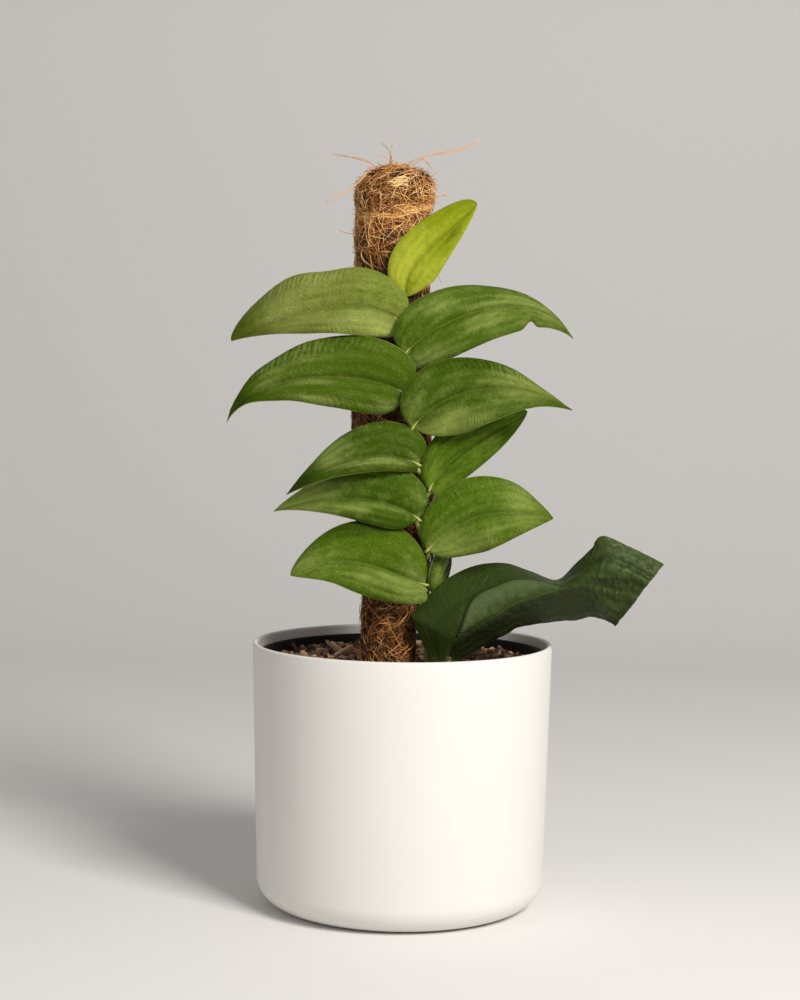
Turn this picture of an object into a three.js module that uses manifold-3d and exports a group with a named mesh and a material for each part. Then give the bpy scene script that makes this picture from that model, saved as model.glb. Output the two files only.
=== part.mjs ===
// A climbing foliage plant in a white pot, in millimetres, +Z up.
// The origin is the centre of the underside of the white pot.
// The plant's stem climbs the front of a coir pole and holds its leaves left and right by turns.
import * as THREE from 'three';
import { mergeVertices } from 'three/addons/utils/BufferGeometryUtils.js';
import Module from 'manifold-3d';

const wasm = await Module();
wasm.setup();

// White outer pot
const POT_HEIGHT = 141;
const POT_RIM_R = 80;
const POT_FOOT_R = 77;
const POT_FLAT_R = 59;
const POT_ROUND_H = 15;
const POT_WALL = 2.5;
const POT_FLOOR = 3;
const POT_SIDES = 52;

// Black nursery pot that stands inside it
const NURSERY_TOP_Z = 136;
const NURSERY_BOTTOM_Z = 3.4;
const NURSERY_TOP_R = 75.4;
const NURSERY_BOTTOM_R = 57;
const NURSERY_WALL = 1.3;
const NURSERY_LIP = 0.9;
const NURSERY_LIP_H = 5;
const DRAIN_HOLES = 6;
const DRAIN_HOLE_R = 5;
const DRAIN_RING_R = 38;

// Potting soil
const SOIL_TOP_Z = 129.4;
const SOIL_EDGE_RISE = 1.6;
const SOIL_BUMP = 1.3;
const SOIL_CHIPS = 40;

// Coir pole
const POLE_X = -7.2;
const POLE_Y = 0;
const POLE_TOP_Z = 393;
const WRAP_FOOT_Z = 112;
const WRAP_LUMP = 0.75;
const STAKE_R = 9;
const STAKE_FOOT_Z = 12;
const STAKE_TOP_Z = 384;

// Plant
const STEM_R = 2.0;
const PETIOLE_R = 1.25;
const BLADE_T = 0.7;
const GAP = 0.3;

const RGB = {
  pot: 0xf4f0ea,
  nursery: 0x17140f,
  soil: 0x4a3626,
  coir: 0x99693f,
  stake: 0xa98a5e,
  stem: 0xa3b04e,
  lime: 0xa2ac3a,
  fresh: 0x7e9440,
  mid: 0x58761f,
  old: 0x35471d,
};

// Outer radius of the coir wrap at each height, and how far its middle stands to the right of the stake's
const WRAP_PROFILE = [
  [112, 15, -0.5], [150, 15, -0.5], [166, 15.8, 0.6], [184, 18.2, 2.2], [194, 19.4, 2.3], [217, 21.2, 1.7],
  [240, 21.3, 1], [262, 21.2, 0], [300, 20.6, 0], [335, 20, 0], [358, 20, -0.2], [367, 19, -0.5],
  [378, 20.7, 0.3], [385, 20.2, 1], [389, 18.4, 1.4], [391.5, 13.5, 1],
];

// Stem: height and sideways place, with the front side of the wrap giving the depth
const STEM_PATH = [
  [330, -1.4], [318, -2.6], [300, -1.6], [285, -0.2], [265, 2.4], [245, 6.0], [226, 9.6],
  [206, 8.4], [193, 11.4], [176, 11.6], [160, 12.6], [140, 13.4], [114, 13.6],
];

// Leaves from the tip of the stem down.
// rib: four points that steer the midrib. side: 1 grows to the right, -1 to the left.
// lean: how far the blade tips back from upright at its foot and its tip, in degrees.
// wide: half width above and below the midrib. peak: where along the blade each is widest.
// lobe: how far each half reaches back past the foot, as a part of the length.
// drip: the drawn-out tip, as a part of the length. wave: size and count of the edge waves.
// dents: hollows of the edge, each as upper (1) or lower (-1) half, place, spread and depth.
const LEAVES = [
  { name: 'leaf_top', color: RGB.lime, side: 1,
    rib: [[-1.5, -27.5, 324], [-0.6, -30, 340.4], [4.8, -25, 343.4], [36, -22, 373]],
    lean: [-4, 14], wide: [14, 13.2], peak: [0.58, 0.43], lobe: [0, 0.01], drip: 0, wave: [0.4, 2] },
  { name: 'leaf_left_1', color: RGB.fresh, side: -1,
    rib: [[-4, -29, 311.5], [-22, -41, 325.5], [-58.5, -27, 316.5], [-91.5, -6, 301]],
    lean: [-5, 34], wide: [23.5, 14.5], peak: [0.52, 0.33], lobe: [0.05, 0.12], drip: 0.01, wave: [0.8, 3],
    dents: [[1, 0.47, 0.13, 0.13]] },
  { name: 'leaf_right_1', color: RGB.mid, side: 1,
    rib: [[-0.5, -30.3, 294.5], [14.5, -36.5, 313.5], [66, -30, 335], [87.5, -12, 304.5]],
    lean: [-9, 30], wide: [18, 17.5], peak: [0.25, 0.36], lobe: [0.01, 0.11], drip: 0.01, wave: [0.8, 3],
    dents: [[-1, 0.735, 0.03, 0.36]] },
  { name: 'leaf_left_2', color: RGB.mid, side: -1,
    rib: [[-0.5, -30.3, 274], [-18, -35.4, 286.5], [-78, -37, 286.5], [-91.5, -30, 260.5]],
    lean: [-12, 32], wide: [22.4, 17], peak: [0.31, 0.28], lobe: [0.04, 0.09], drip: 0.03, wave: [1.2, 4] },
  { name: 'leaf_right_2', color: RGB.mid, side: 1,
    rib: [[4, -31.3, 256.5], [17.5, -38.6, 276.5], [50.5, -39, 285], [80, -37, 270]],
    lean: [-12, 30], wide: [20, 19.5], peak: [0.31, 0.38], lobe: [0, 0.04], drip: 0.07, wave: [0.9, 3] },
  { name: 'leaf_left_3', color: RGB.mid, side: -1,
    rib: [[7, -28.8, 237.5], [-8.5, -36.2, 246.5], [-38, -34, 241.5], [-61, -28, 221.5]],
    lean: [-8, 38], wide: [18, 8], peak: [0.31, 0.41], lobe: [0.04, 0.1], drip: 0.01, wave: [0.6, 2] },
  { name: 'leaf_right_3', color: RGB.mid, side: 1,
    rib: [[13.2, -25.4, 224.5], [25, -27.5, 246], [43.5, -17, 251.5], [65, -3, 265]],
    lean: [-4, 8], wide: [16.4, 12], peak: [0.48, 0.4], lobe: [0.01, 0.1], drip: 0, wave: [0.4, 2] },
  { name: 'leaf_left_4', color: RGB.mid, side: -1,
    rib: [[7.5, -28, 209], [-6.5, -31.5, 221], [-37.5, -24, 222.5], [-68.5, -8, 211]],
    lean: [-5, 28], wide: [20.5, 12.5], peak: [0.36, 0.32], lobe: [0.02, 0.02], drip: 0.01, wave: [0.5, 2] },
  { name: 'leaf_right_4', color: RGB.mid, side: 1,
    rib: [[12.5, -24.7, 192.5], [34, -33, 217.3], [55, -35, 214.3], [76.3, -31, 210.5]],
    lean: [-8, 28], wide: [21, 18.4], peak: [0.4, 0.38], lobe: [0, 0.035], drip: 0.02, wave: [0.7, 3] },
  { name: 'leaf_left_5', color: RGB.mid, side: -1,
    rib: [[11.5, -25.5, 174.5], [-11.9, -28, 180.9], [-24.9, -33, 194.5], [-57.5, -35, 180]],
    lean: [-1, 34], wide: [24.4, 16.1], peak: [0.44, 0.43], lobe: [0.018, 0.114], drip: 0.01, wave: [0.6, 3] },
  { name: 'leaf_right_5', color: RGB.mid, side: 1,
    rib: [[15.3, -14, 168.7], [22, -12.5, 180], [27, -3, 190], [24.5, 12, 192]],
    lean: [3, 3], wide: [16.5, 8.5], peak: [0.6, 0.3], lobe: [0, 0.06], drip: 0, wave: [0.3, 2] },
];
const BLADE_RISE = 0.12;
const BLADE_DROP = 0.06;
const LOBE_AT = 0.1;
const EDGE_POWER = 0.55;
const BLADE_ROWS = 15;
const BLADE_COLS = 3;

// The big old leaf low on the right, in cross sections from its foot to its torn end:
// upper edge, ridge along the midrib, lower edge
const OLD_SECTIONS = [
  [[16, -19.5, 132.8], [23, -23, 132.3], [29, -21, 132.8]],
  [[11.5, -18.5, 141], [24.5, -25, 139], [32, -22, 136.5]],
  [[4.5, -18.5, 157], [27, -28, 145], [38.5, -22, 139]],
  [[15, -17.6, 170], [33, -30, 150], [46, -22, 144]],
  [[25, -15.8, 178], [40, -32, 154], [54, -23, 148]],
  [[39, -14, 184], [48, -34, 159], [60, -24, 152]],
  [[54, -13, 185], [58, -36, 166], [69, -25, 154]],
  [[67, -13, 181], [71, -38, 171], [80, -27, 156]],
  [[81, -17, 177], [83, -39, 175], [90, -29, 157]],
  [[90, -28, 187], [93, -40, 177], [98, -31, 159]],
  [[97, -34, 195], [101, -41, 176], [104, -33, 158]],
  [[103, -37, 202], [109, -42, 175], [107, -35, 157]],
  [[120, -38, 195], [116, -43, 174], [109, -37, 156]],
  [[135, -39, 188], [122, -44, 172], [110, -39, 155]],
];
const OLD_ROLL = 2.6;
const OLD_COLS = 4;
const OLD_PETIOLE = [[24.5, -23.2, 138], [24, -22, 130], [22.5, -19.5, 116]];

// Stray fibres of the wrap, each as points from its root outwards
const LONG_FIBRES = [
  [[-15, -7, 388], [-20.5, -10, 389.5], [-23, -12, 386.5], [-27, -12, 382.5], [-33.5, -13, 377.5],
    [-43, -14, 372.5]],
  [[-12.5, -4, 389], [-20.4, -8, 395], [-29.3, -9, 397], [-39.8, -10, 399]],
  [[-5.5, -5, 389], [-11.5, -8, 396.8], [-16.5, -9, 398.2]],
  [[-8, -4, 390], [-8.5, -5, 398.5], [-8.3, -5, 407]],
  [[-8.5, -5, 390], [-9.5, -6, 400], [-14.7, -7, 405.5]],
  [[-3, -5, 389], [0.7, -7, 394.8], [7.3, -8, 397.6], [18.4, -9, 400], [28.3, -9, 402], [37.1, -10, 406.8]],
  [[-1, -4, 390], [6.2, -7, 396.2], [9.6, -8, 395.5], [13.2, -8.5, 391.5]],
  [[6, -6, 383], [14, -8, 389], [16.3, -8, 391.8]],
  [[7, -8, 370], [14.2, -10, 376.3], [18.6, -10, 377.6], [20.9, -10, 377.5]],
  [[-22, -6, 356], [-27.7, -8, 357], [-36.6, -9, 359.4]],
  [[6, -8, 337], [12.5, -12, 338], [15.3, -12.5, 336.6], [17.9, -13, 332.2]],
  [[-22, -8, 352], [-28, -10, 356]],
  [[-22, -6, 366], [-29, -9, 368]],
  [[1, -10, 163], [2.5, -16.5, 158], [-1.4, -17, 153.4], [-5.3, -15.5, 149.8]],
];
const FIBRE_R = 0.5;
const TUFTS = 52;
const WOUND_STRANDS = 14;

function seeded(seed) {
  let a = seed;
  return () => {
    a = (a + 0x6d2b79f5) | 0;
    let t = Math.imul(a ^ (a >>> 15), 1 | a);
    t = (t + Math.imul(t ^ (t >>> 7), 61 | t)) ^ t;
    return ((t ^ (t >>> 14)) >>> 0) / 4294967296;
  };
}

// Geometry from plain lists of points and triangles, turned so that its faces point outwards
function geometryOf(points, triangles) {
  const raw = new THREE.BufferGeometry();
  raw.setAttribute('position', new THREE.Float32BufferAttribute(points.flat(), 3));
  raw.setIndex(triangles.flat());
  const g = mergeVertices(raw, 1e-3);
  const ix = g.index.array;
  const kept = [];
  for (let i = 0; i < ix.length; i += 3) {
    const [a, b, c] = [ix[i], ix[i + 1], ix[i + 2]];
    if (a !== b && b !== c && a !== c) kept.push([a, b, c]);
  }
  const p = g.getAttribute('position');
  const v = (i) => new THREE.Vector3().fromBufferAttribute(p, i);
  let volume = 0;
  for (const [a, b, c] of kept) volume += v(a).dot(v(b).cross(v(c)));
  if (volume < 0) kept.forEach((t) => t.reverse());
  g.setIndex(kept.flat());
  return g;
}

function solidOf(geometry) {
  let g = geometry.clone();
  g.deleteAttribute('normal');
  g.deleteAttribute('uv');
  g = mergeVertices(g, 1e-3);
  const mesh = new wasm.Mesh({
    numProp: 3,
    vertProperties: new Float32Array(g.getAttribute('position').array),
    triVerts: new Uint32Array(g.index.array),
  });
  return new wasm.Manifold(mesh);
}

function geometryOfSolid(solid) {
  const mesh = solid.getMesh();
  const g = new THREE.BufferGeometry();
  g.setAttribute('position', new THREE.Float32BufferAttribute(mesh.vertProperties, 3));
  g.setIndex(Array.from(mesh.triVerts));
  return g;
}

// A body turned round a vertical axis from a closed outline of [radius, height] points
function turned(outline, sides) {
  const g = new THREE.LatheGeometry(outline.map(([r, z]) => new THREE.Vector2(r, z)), sides);
  g.rotateX(Math.PI / 2);
  g.deleteAttribute('normal');
  g.deleteAttribute('uv');
  const p = g.getAttribute('position');
  const points = [];
  for (let i = 0; i < p.count; i += 1) points.push([p.getX(i), p.getY(i), p.getZ(i)]);
  const triangles = [];
  for (let i = 0; i < g.index.count; i += 3) {
    triangles.push([g.index.getX(i), g.index.getX(i + 1), g.index.getX(i + 2)]);
  }
  return geometryOf(points, triangles);
}

// A round bar along a list of points, with a radius at each point
function bar(path, radii, sides) {
  const pts = path.map((q) => new THREE.Vector3(...q));
  const rings = [];
  let side = null;
  pts.forEach((q, i) => {
    const ahead = pts[Math.min(i + 1, pts.length - 1)];
    const behind = pts[Math.max(i - 1, 0)];
    const along = ahead.clone().sub(behind).normalize();
    if (!side) side = new THREE.Vector3(0.3, 0.5, 0.81).cross(along).normalize();
    side = side.clone().addScaledVector(along, -side.dot(along)).normalize();
    const other = along.clone().cross(side);
    const ring = [];
    for (let k = 0; k < sides; k += 1) {
      const a = (2 * Math.PI * k) / sides;
      const out = side.clone().multiplyScalar(Math.cos(a)).addScaledVector(other, Math.sin(a));
      ring.push(q.clone().addScaledVector(out, radii[i]).toArray());
    }
    rings.push(ring);
  });
  const points = rings.flat();
  const triangles = [];
  for (let i = 0; i + 1 < rings.length; i += 1) {
    for (let k = 0; k < sides; k += 1) {
      const a = i * sides + k;
      const b = i * sides + ((k + 1) % sides);
      triangles.push([a, b, b + sides], [a, b + sides, a + sides]);
    }
  }
  const last = (rings.length - 1) * sides;
  for (let k = 1; k + 1 < sides; k += 1) {
    triangles.push([0, k + 1, k], [last, last + k, last + k + 1]);
  }
  return geometryOf(points, triangles);
}

// Smooth points through a hand-drawn line
function smoothPath(points, count) {
  const curve = new THREE.CatmullRomCurve3(points.map((q) => new THREE.Vector3(...q)));
  return curve.getPoints(count).map((q) => q.toArray());
}

// A thin sheet: the grid is its middle surface, and both faces are split into the same triangles
function sheet(grid, thickness) {
  const rows = grid.length;
  const cols = grid[0].length;
  const within = (i, n) => Math.max(0, Math.min(n - 1, i));
  const at = (i, j) => new THREE.Vector3(...grid[within(i, rows)][within(j, cols)]);
  const normal = (i, j) => {
    const row = Math.max(1, Math.min(rows - 2, i));
    const col = row === i ? j : (cols - 1) / 2;
    const u = at(row + 1, col).sub(at(row - 1, col));
    const w = at(row, col + 1).sub(at(row, col - 1));
    return u.cross(w).normalize();
  };
  const front = [];
  const back = [];
  for (let i = 0; i < rows; i += 1) {
    for (let j = 0; j < cols; j += 1) {
      const n = normal(i, j);
      front.push(at(i, j).addScaledVector(n, thickness / 2).toArray());
      back.push(at(i, j).addScaledVector(n, -thickness / 2).toArray());
    }
  }
  const half = rows * cols;
  const triangles = [];
  const id = (i, j) => i * cols + j;
  for (let i = 0; i + 1 < rows; i += 1) {
    for (let j = 0; j + 1 < cols; j += 1) {
      const [a, b, c, d] = [id(i, j), id(i, j + 1), id(i + 1, j + 1), id(i + 1, j)];
      const tris = j < (cols - 1) / 2 ? [[a, b, c], [a, c, d]] : [[a, b, d], [b, c, d]];
      for (const [p, q, r] of tris) triangles.push([p, q, r], [p + half, r + half, q + half]);
    }
  }
  const wall = (a, b) => triangles.push([a, b, b + half], [a, b + half, a + half]);
  for (let i = 0; i + 1 < rows; i += 1) {
    wall(id(i, 0), id(i + 1, 0));
    wall(id(i + 1, cols - 1), id(i, cols - 1));
  }
  for (let j = 0; j + 1 < cols; j += 1) {
    wall(id(0, j + 1), id(0, j));
    wall(id(rows - 1, j), id(rows - 1, j + 1));
  }
  return geometryOf(front.concat(back), triangles);
}

// Point and direction of a leaf's midrib at t, straight on past both ends
function ribAt(rib, t) {
  const [p0, p1, p2, p3] = rib.map((q) => new THREE.Vector3(...q));
  const k = Math.max(0, Math.min(1, t));
  const m = 1 - k;
  const point = new THREE.Vector3()
    .addScaledVector(p0, m * m * m)
    .addScaledVector(p1, 3 * m * m * k)
    .addScaledVector(p2, 3 * m * k * k)
    .addScaledVector(p3, k * k * k);
  const along = new THREE.Vector3()
    .addScaledVector(p1.clone().sub(p0), 3 * m * m)
    .addScaledVector(p2.clone().sub(p1), 6 * m * k)
    .addScaledVector(p3.clone().sub(p2), 3 * k * k);
  point.addScaledVector(along, t - k);
  return [point, along.normalize()];
}

// A point of a leaf blade: s runs from foot to tip, v from the lower edge (-1) to the upper edge (1).
// Half width = wide * N * s^a * (1 - s)^b, with N making its largest value 1 at s = peak.
function bladePoint(leaf, s, v) {
  const half = v >= 0 ? 0 : 1;
  const u = Math.abs(v);
  const peak = leaf.peak[half];
  const b = (EDGE_POWER * (1 - peak)) / peak;
  const full = peak ** EDGE_POWER * (1 - peak) ** b;
  let width = (leaf.wide[half] * s ** EDGE_POWER * (1 - s) ** b) / full;
  for (const [side, place, spread, depth] of leaf.dents ?? []) {
    if (Math.sign(v) === side) width *= 1 - depth * Math.exp(-(((s - place) / spread) ** 2));
  }
  const back = (leaf.lobe[half] * s * Math.exp(1 - s / LOBE_AT) * u ** 1.2) / LOBE_AT;
  const reach = leaf.drip * Math.max(0, (s - 0.86) / 0.14) ** 2;
  const t = s - back + reach;
  const [point, along] = ribAt(leaf.rib, t);
  const viewer = new THREE.Vector3(0, -1, 0);
  if (leaf.outward) viewer.copy(leaf.outward(point));
  const face = viewer.addScaledVector(along, -viewer.dot(along)).normalize();
  const across = face.clone().cross(along).multiplyScalar(leaf.side);
  const k = Math.max(0, Math.min(1, t));
  const lean = THREE.MathUtils.degToRad(leaf.lean[0] + (leaf.lean[1] - leaf.lean[0]) * k);
  const up = across.clone().multiplyScalar(Math.cos(lean)).addScaledVector(face, -Math.sin(lean));
  const out = face.multiplyScalar(Math.cos(lean)).addScaledVector(across, Math.sin(lean));
  const bulge = width * (BLADE_RISE * Math.sin(Math.PI * u) - BLADE_DROP * u * u);
  const wave = leaf.wave[0] * Math.sin(2 * Math.PI * leaf.wave[1] * s + v) * u ** 3 * Math.sin(Math.PI * s);
  return point.addScaledVector(up, Math.sign(v) * width * u).addScaledVector(out, bulge + wave).toArray();
}

function bladeGrid(leaf) {
  const grid = [];
  for (let i = 0; i <= BLADE_ROWS; i += 1) {
    const even = (1 - Math.cos((Math.PI * i) / BLADE_ROWS)) / 2;
    const s = i === BLADE_ROWS - 1 ? 0.97 : even;
    const row = [];
    const ends = i === 0 || i === BLADE_ROWS;
    for (let j = -BLADE_COLS; j <= BLADE_COLS; j += 1) row.push(bladePoint(leaf, s, ends ? 0 : j / BLADE_COLS));
    grid.push(row);
  }
  return grid;
}

// Radius of the coir wrap and shift of its middle at a height: the rows of the profile joined smoothly
function wrapProfile(z) {
  const p = WRAP_PROFILE;
  let i = 0;
  while (i + 2 < p.length && z > p[i + 1][0]) i += 1;
  const k = Math.max(0, Math.min(1, (z - p[i][0]) / (p[i + 1][0] - p[i][0])));
  return [1, 2].map((c) => p[i][c] + (p[i + 1][c] - p[i][c]) * k * k * (3 - 2 * k));
}

// Point on the outside of the wrap at a height and an angle, or further out: the profile with low lumps on it
function wrapPoint(z, a, more) {
  const [radius, shift] = wrapProfile(z);
  const slow = 0.45 * Math.sin(3 * a + z / 11) + 0.2 * Math.sin(2 * a + z / 4);
  const lumps = slow + 0.35 * Math.sin(5 * a - z / 7 + 1);
  const r = radius + WRAP_LUMP * lumps + more;
  return [POLE_X + shift + r * Math.cos(a), POLE_Y + r * Math.sin(a), z];
}

// The coir wrap as a lumpy column; swell makes it bigger all over, for the hole that it stands in
function wrapColumn(heights, sides, swell) {
  const points = [];
  for (const z of heights) {
    for (let k = 0; k < sides; k += 1) points.push(wrapPoint(z, (2 * Math.PI * k) / sides, swell));
  }
  const top = points.length;
  points.push([POLE_X, POLE_Y, heights[heights.length - 1] + (swell ? 0 : 1.5)]);
  points.push([POLE_X, POLE_Y, heights[0]]);
  const triangles = [];
  for (let i = 0; i + 1 < heights.length; i += 1) {
    for (let k = 0; k < sides; k += 1) {
      const a = i * sides + k;
      const b = i * sides + ((k + 1) % sides);
      triangles.push([a, b, b + sides], [a, b + sides, a + sides]);
    }
  }
  const last = (heights.length - 1) * sides;
  for (let k = 0; k < sides; k += 1) {
    const n = (k + 1) % sides;
    triangles.push([last + k, last + n, top], [n, k, top + 1]);
  }
  return geometryOf(points, triangles);
}

// White outer pot: tapered wall, generous rounding at the foot and a small round rim
const potOutline = [[0, 0], [POT_FLAT_R, 0]];
for (let i = 1; i <= 5; i += 1) {
  const a = (Math.PI * i) / 10;
  potOutline.push([
    POT_FLAT_R + (POT_FOOT_R - POT_FLAT_R) * Math.sin(a),
    POT_ROUND_H * (1 - Math.cos(a)),
  ]);
}
const rimR = POT_WALL / 2;
for (let i = 0; i <= 4; i += 1) {
  const a = (Math.PI * i) / 4;
  potOutline.push([POT_RIM_R - rimR + rimR * Math.cos(a), POT_HEIGHT - rimR + rimR * Math.sin(a)]);
}
potOutline.push([POT_FOOT_R - POT_WALL, POT_ROUND_H + 2]);
for (let i = 3; i >= 1; i -= 1) {
  const a = (Math.PI * i) / 8;
  potOutline.push([
    POT_FLAT_R - POT_WALL + (POT_FOOT_R - POT_FLAT_R) * Math.sin(a),
    POT_FLOOR + (POT_ROUND_H - 1) * (1 - Math.cos(a)),
  ]);
}
potOutline.push([POT_FLAT_R - POT_WALL, POT_FLOOR], [0, POT_FLOOR]);
const potGeometry = turned(potOutline, POT_SIDES);

// Nursery pot: thin tapered wall with a turned-out lip, and holes in its floor
const nurseryOuter = (z) => NURSERY_BOTTOM_R
  + ((NURSERY_TOP_R - NURSERY_BOTTOM_R) * (z - NURSERY_BOTTOM_Z)) / (NURSERY_TOP_Z - NURSERY_BOTTOM_Z);
const lipZ = NURSERY_TOP_Z - NURSERY_LIP_H;
const nurseryOutline = [
  [0, NURSERY_BOTTOM_Z],
  [NURSERY_BOTTOM_R - 1.5, NURSERY_BOTTOM_Z],
  [NURSERY_BOTTOM_R, NURSERY_BOTTOM_Z + 1.5],
  [nurseryOuter(lipZ), lipZ],
  [nurseryOuter(lipZ) + NURSERY_LIP, lipZ + 0.4],
  [NURSERY_TOP_R + NURSERY_LIP, NURSERY_TOP_Z - 0.4],
  [NURSERY_TOP_R + NURSERY_LIP - 0.4, NURSERY_TOP_Z],
  [NURSERY_TOP_R - NURSERY_WALL, NURSERY_TOP_Z],
  [NURSERY_BOTTOM_R - NURSERY_WALL, NURSERY_BOTTOM_Z + 2.2],
  [0, NURSERY_BOTTOM_Z + 1.5],
];
let nursery = solidOf(turned(nurseryOutline, 40));
for (let i = 0; i < DRAIN_HOLES; i += 1) {
  const a = (2 * Math.PI * (i + 0.5)) / DRAIN_HOLES;
  const hole = new THREE.CylinderGeometry(DRAIN_HOLE_R, DRAIN_HOLE_R, 12, 10);
  hole.rotateX(Math.PI / 2);
  hole.translate(DRAIN_RING_R * Math.cos(a), DRAIN_RING_R * Math.sin(a), NURSERY_BOTTOM_Z);
  nursery = nursery.subtract(solidOf(hole));
}

// Stake inside the pole: a round wooden rod with a blunt point
const stakeGeometry = bar(
  [[POLE_X, POLE_Y, STAKE_FOOT_Z], [POLE_X, POLE_Y, STAKE_FOOT_Z + 8], [POLE_X, POLE_Y, STAKE_TOP_Z]],
  [4, STAKE_R, STAKE_R], 14);

// Coir wrap, bored for the stake from below, with its stray fibres and short tufts grown on
const random = seeded(7);
const heights = [
  WRAP_FOOT_Z, 130, 150, 158, 166, 174, 182, 194, 206, 218, 234, 254, 274, 294, 314, 334, 348,
  360, 367, 372, 378, 384, 387, 389.5, POLE_TOP_Z - 1.5,
];
let wrap = solidOf(wrapColumn(heights, 24, 0));
const bore = bar(
  [[POLE_X, POLE_Y, WRAP_FOOT_Z - 5], [POLE_X, POLE_Y, STAKE_TOP_Z + GAP]],
  [STAKE_R + GAP + 0.15, STAKE_R + GAP + 0.15], 14);
const strands = [];
for (const points of LONG_FIBRES) {
  const path = smoothPath(points, 6);
  const radii = path.map((_, i) => FIBRE_R * (1 - (0.35 * i) / 6));
  strands.push(solidOf(bar(path, radii, 3)));
}
for (let i = 0; i < TUFTS; i += 1) {
  const crown = i < TUFTS * 0.55;
  const z = Math.min(388, crown ? 340 + 50 * random() : 140 + 195 * random());
  const a = crown || z < 155 ? 2 * Math.PI * random() : Math.PI * (0.02 + 1.0 * random());
  const length = crown ? 3 + 4 * random() : 2 + 3 * random();
  const turn = a + 0.5 * (random() - 0.5);
  const lift = (random() - 0.25) * (z > 382 ? 1.4 : 0.8);
  const clear = crown && a > 4.3 && z < 372;
  if (clear) continue;
  const root = wrapPoint(z, a, -2.5);
  const mid = wrapPoint(z, turn, 0.4 * length);
  mid[2] += lift * length * 0.6;
  const end = wrapPoint(z, turn + 0.12, 0.8 * length);
  end[2] += lift * length * 1.4;
  strands.push(solidOf(bar([root, mid, end], [FIBRE_R, FIBRE_R, FIBRE_R * 0.7], 3)));
}
for (let i = 0; i < WOUND_STRANDS; i += 1) {
  const low = i % 4 === 3;
  const z0 = low ? 138 + 16 * random() : 342 + 42 * random();
  const a0 = low ? Math.PI * (1.0 + 0.3 * random()) : 2 * Math.PI * random();
  const sweep = (0.5 + 0.6 * random()) * (low ? 0.6 : 1);
  const climb = 22 * (random() - 0.5);
  const path = [];
  for (let k = 0; k <= 4; k += 1) {
    const a = a0 + (sweep * k) / 4;
    const z = Math.min(387, Math.max(340 - (low ? 205 : 0), z0 + (climb * k) / 4));
    path.push(wrapPoint(z, a, 0.5 * Math.sin((Math.PI * k) / 4) - 0.35));
  }
  strands.push(solidOf(bar(path, path.map(() => FIBRE_R * 1.3), 3)));
}
wrap = wasm.Manifold.union([wrap, ...strands]).subtract(solidOf(bore));

// Stem and leaf stalks, one grown body
const stemLine = STEM_PATH.map(([z, x]) => {
  const [radius, shift] = wrapProfile(z);
  const reach = radius + WRAP_LUMP + GAP + STEM_R + 0.2;
  const dx = x - POLE_X - shift;
  return [x, Math.min(-9, -Math.sqrt(Math.max(0, reach * reach - dx * dx))), z];
});
stemLine[stemLine.length - 2][1] = -10;
stemLine[stemLine.length - 1][1] = -11;
const stemCurve = new THREE.CatmullRomCurve3(stemLine.map((q) => new THREE.Vector3(...q)));
const stemPoints = stemCurve.getPoints(30).map((q) => q.toArray());
const stemRadii = stemPoints.map((_, i) => STEM_R * (i < 2 ? 0.6 + 0.2 * i : 1) * (i % 3 === 0 ? 1.06 : 0.96));
let stem = solidOf(bar(stemPoints, stemRadii, 8));
const stalks = [];
for (const leaf of LEAVES) {
  const foot = leaf.rib[0];
  let near = stemPoints[0];
  for (const q of stemPoints) {
    if (Math.abs(q[2] - (foot[2] - 5)) < Math.abs(near[2] - (foot[2] - 5))) near = q;
  }
  const inner = foot[1] < -20 ? [leaf.side, 1.9] : [-1.6, 1];
  const end = [foot[0] + inner[0], foot[1] + inner[1], foot[2] - 0.8];
  const mid = [(near[0] + end[0]) / 2, near[1] * 0.4 + end[1] * 0.6 - 0.4, (near[2] + end[2]) / 2 - 0.8];
  stalks.push(solidOf(bar([near, mid, end], [PETIOLE_R * 1.1, PETIOLE_R, PETIOLE_R * 0.75], 5)));
}
stem = wasm.Manifold.union([stem, ...stalks]);

// Old leaf: the sections joined smoothly, each half rolled a little, with its stalk
const oldGrid = OLD_SECTIONS.map(([upper, ridge, lower], i) => {
  const [U, M, L] = [upper, ridge, lower].map((q) => new THREE.Vector3(...q));
  const row = [];
  const size = Math.min(1, i / 3);
  for (let j = 0; j < OLD_COLS; j += 1) {
    const u = 1 - j / OLD_COLS;
    const q = M.clone().lerp(U, u);
    const roll = OLD_ROLL * size * Math.sin(Math.PI * u) * (u < 0.45 ? 1.2 : 0.55);
    row.push(q.add(new THREE.Vector3(0, -roll, 0.3 * roll)).toArray());
  }
  row.push(M.toArray());
  for (let j = 1; j <= 2; j += 1) {
    const u = j / 2;
    const roll = 0.9 * size * Math.sin(Math.PI * u);
    row.push(M.clone().lerp(L, u).add(new THREE.Vector3(0, -roll, -0.4 * roll)).toArray());
  }
  return row;
});
let oldLeaf = solidOf(sheet(oldGrid, BLADE_T + 0.2));
const oldStalk = solidOf(bar(OLD_PETIOLE, [2.2, 2.1, 1.9], 8));
oldLeaf = oldLeaf.add(oldStalk);

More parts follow.
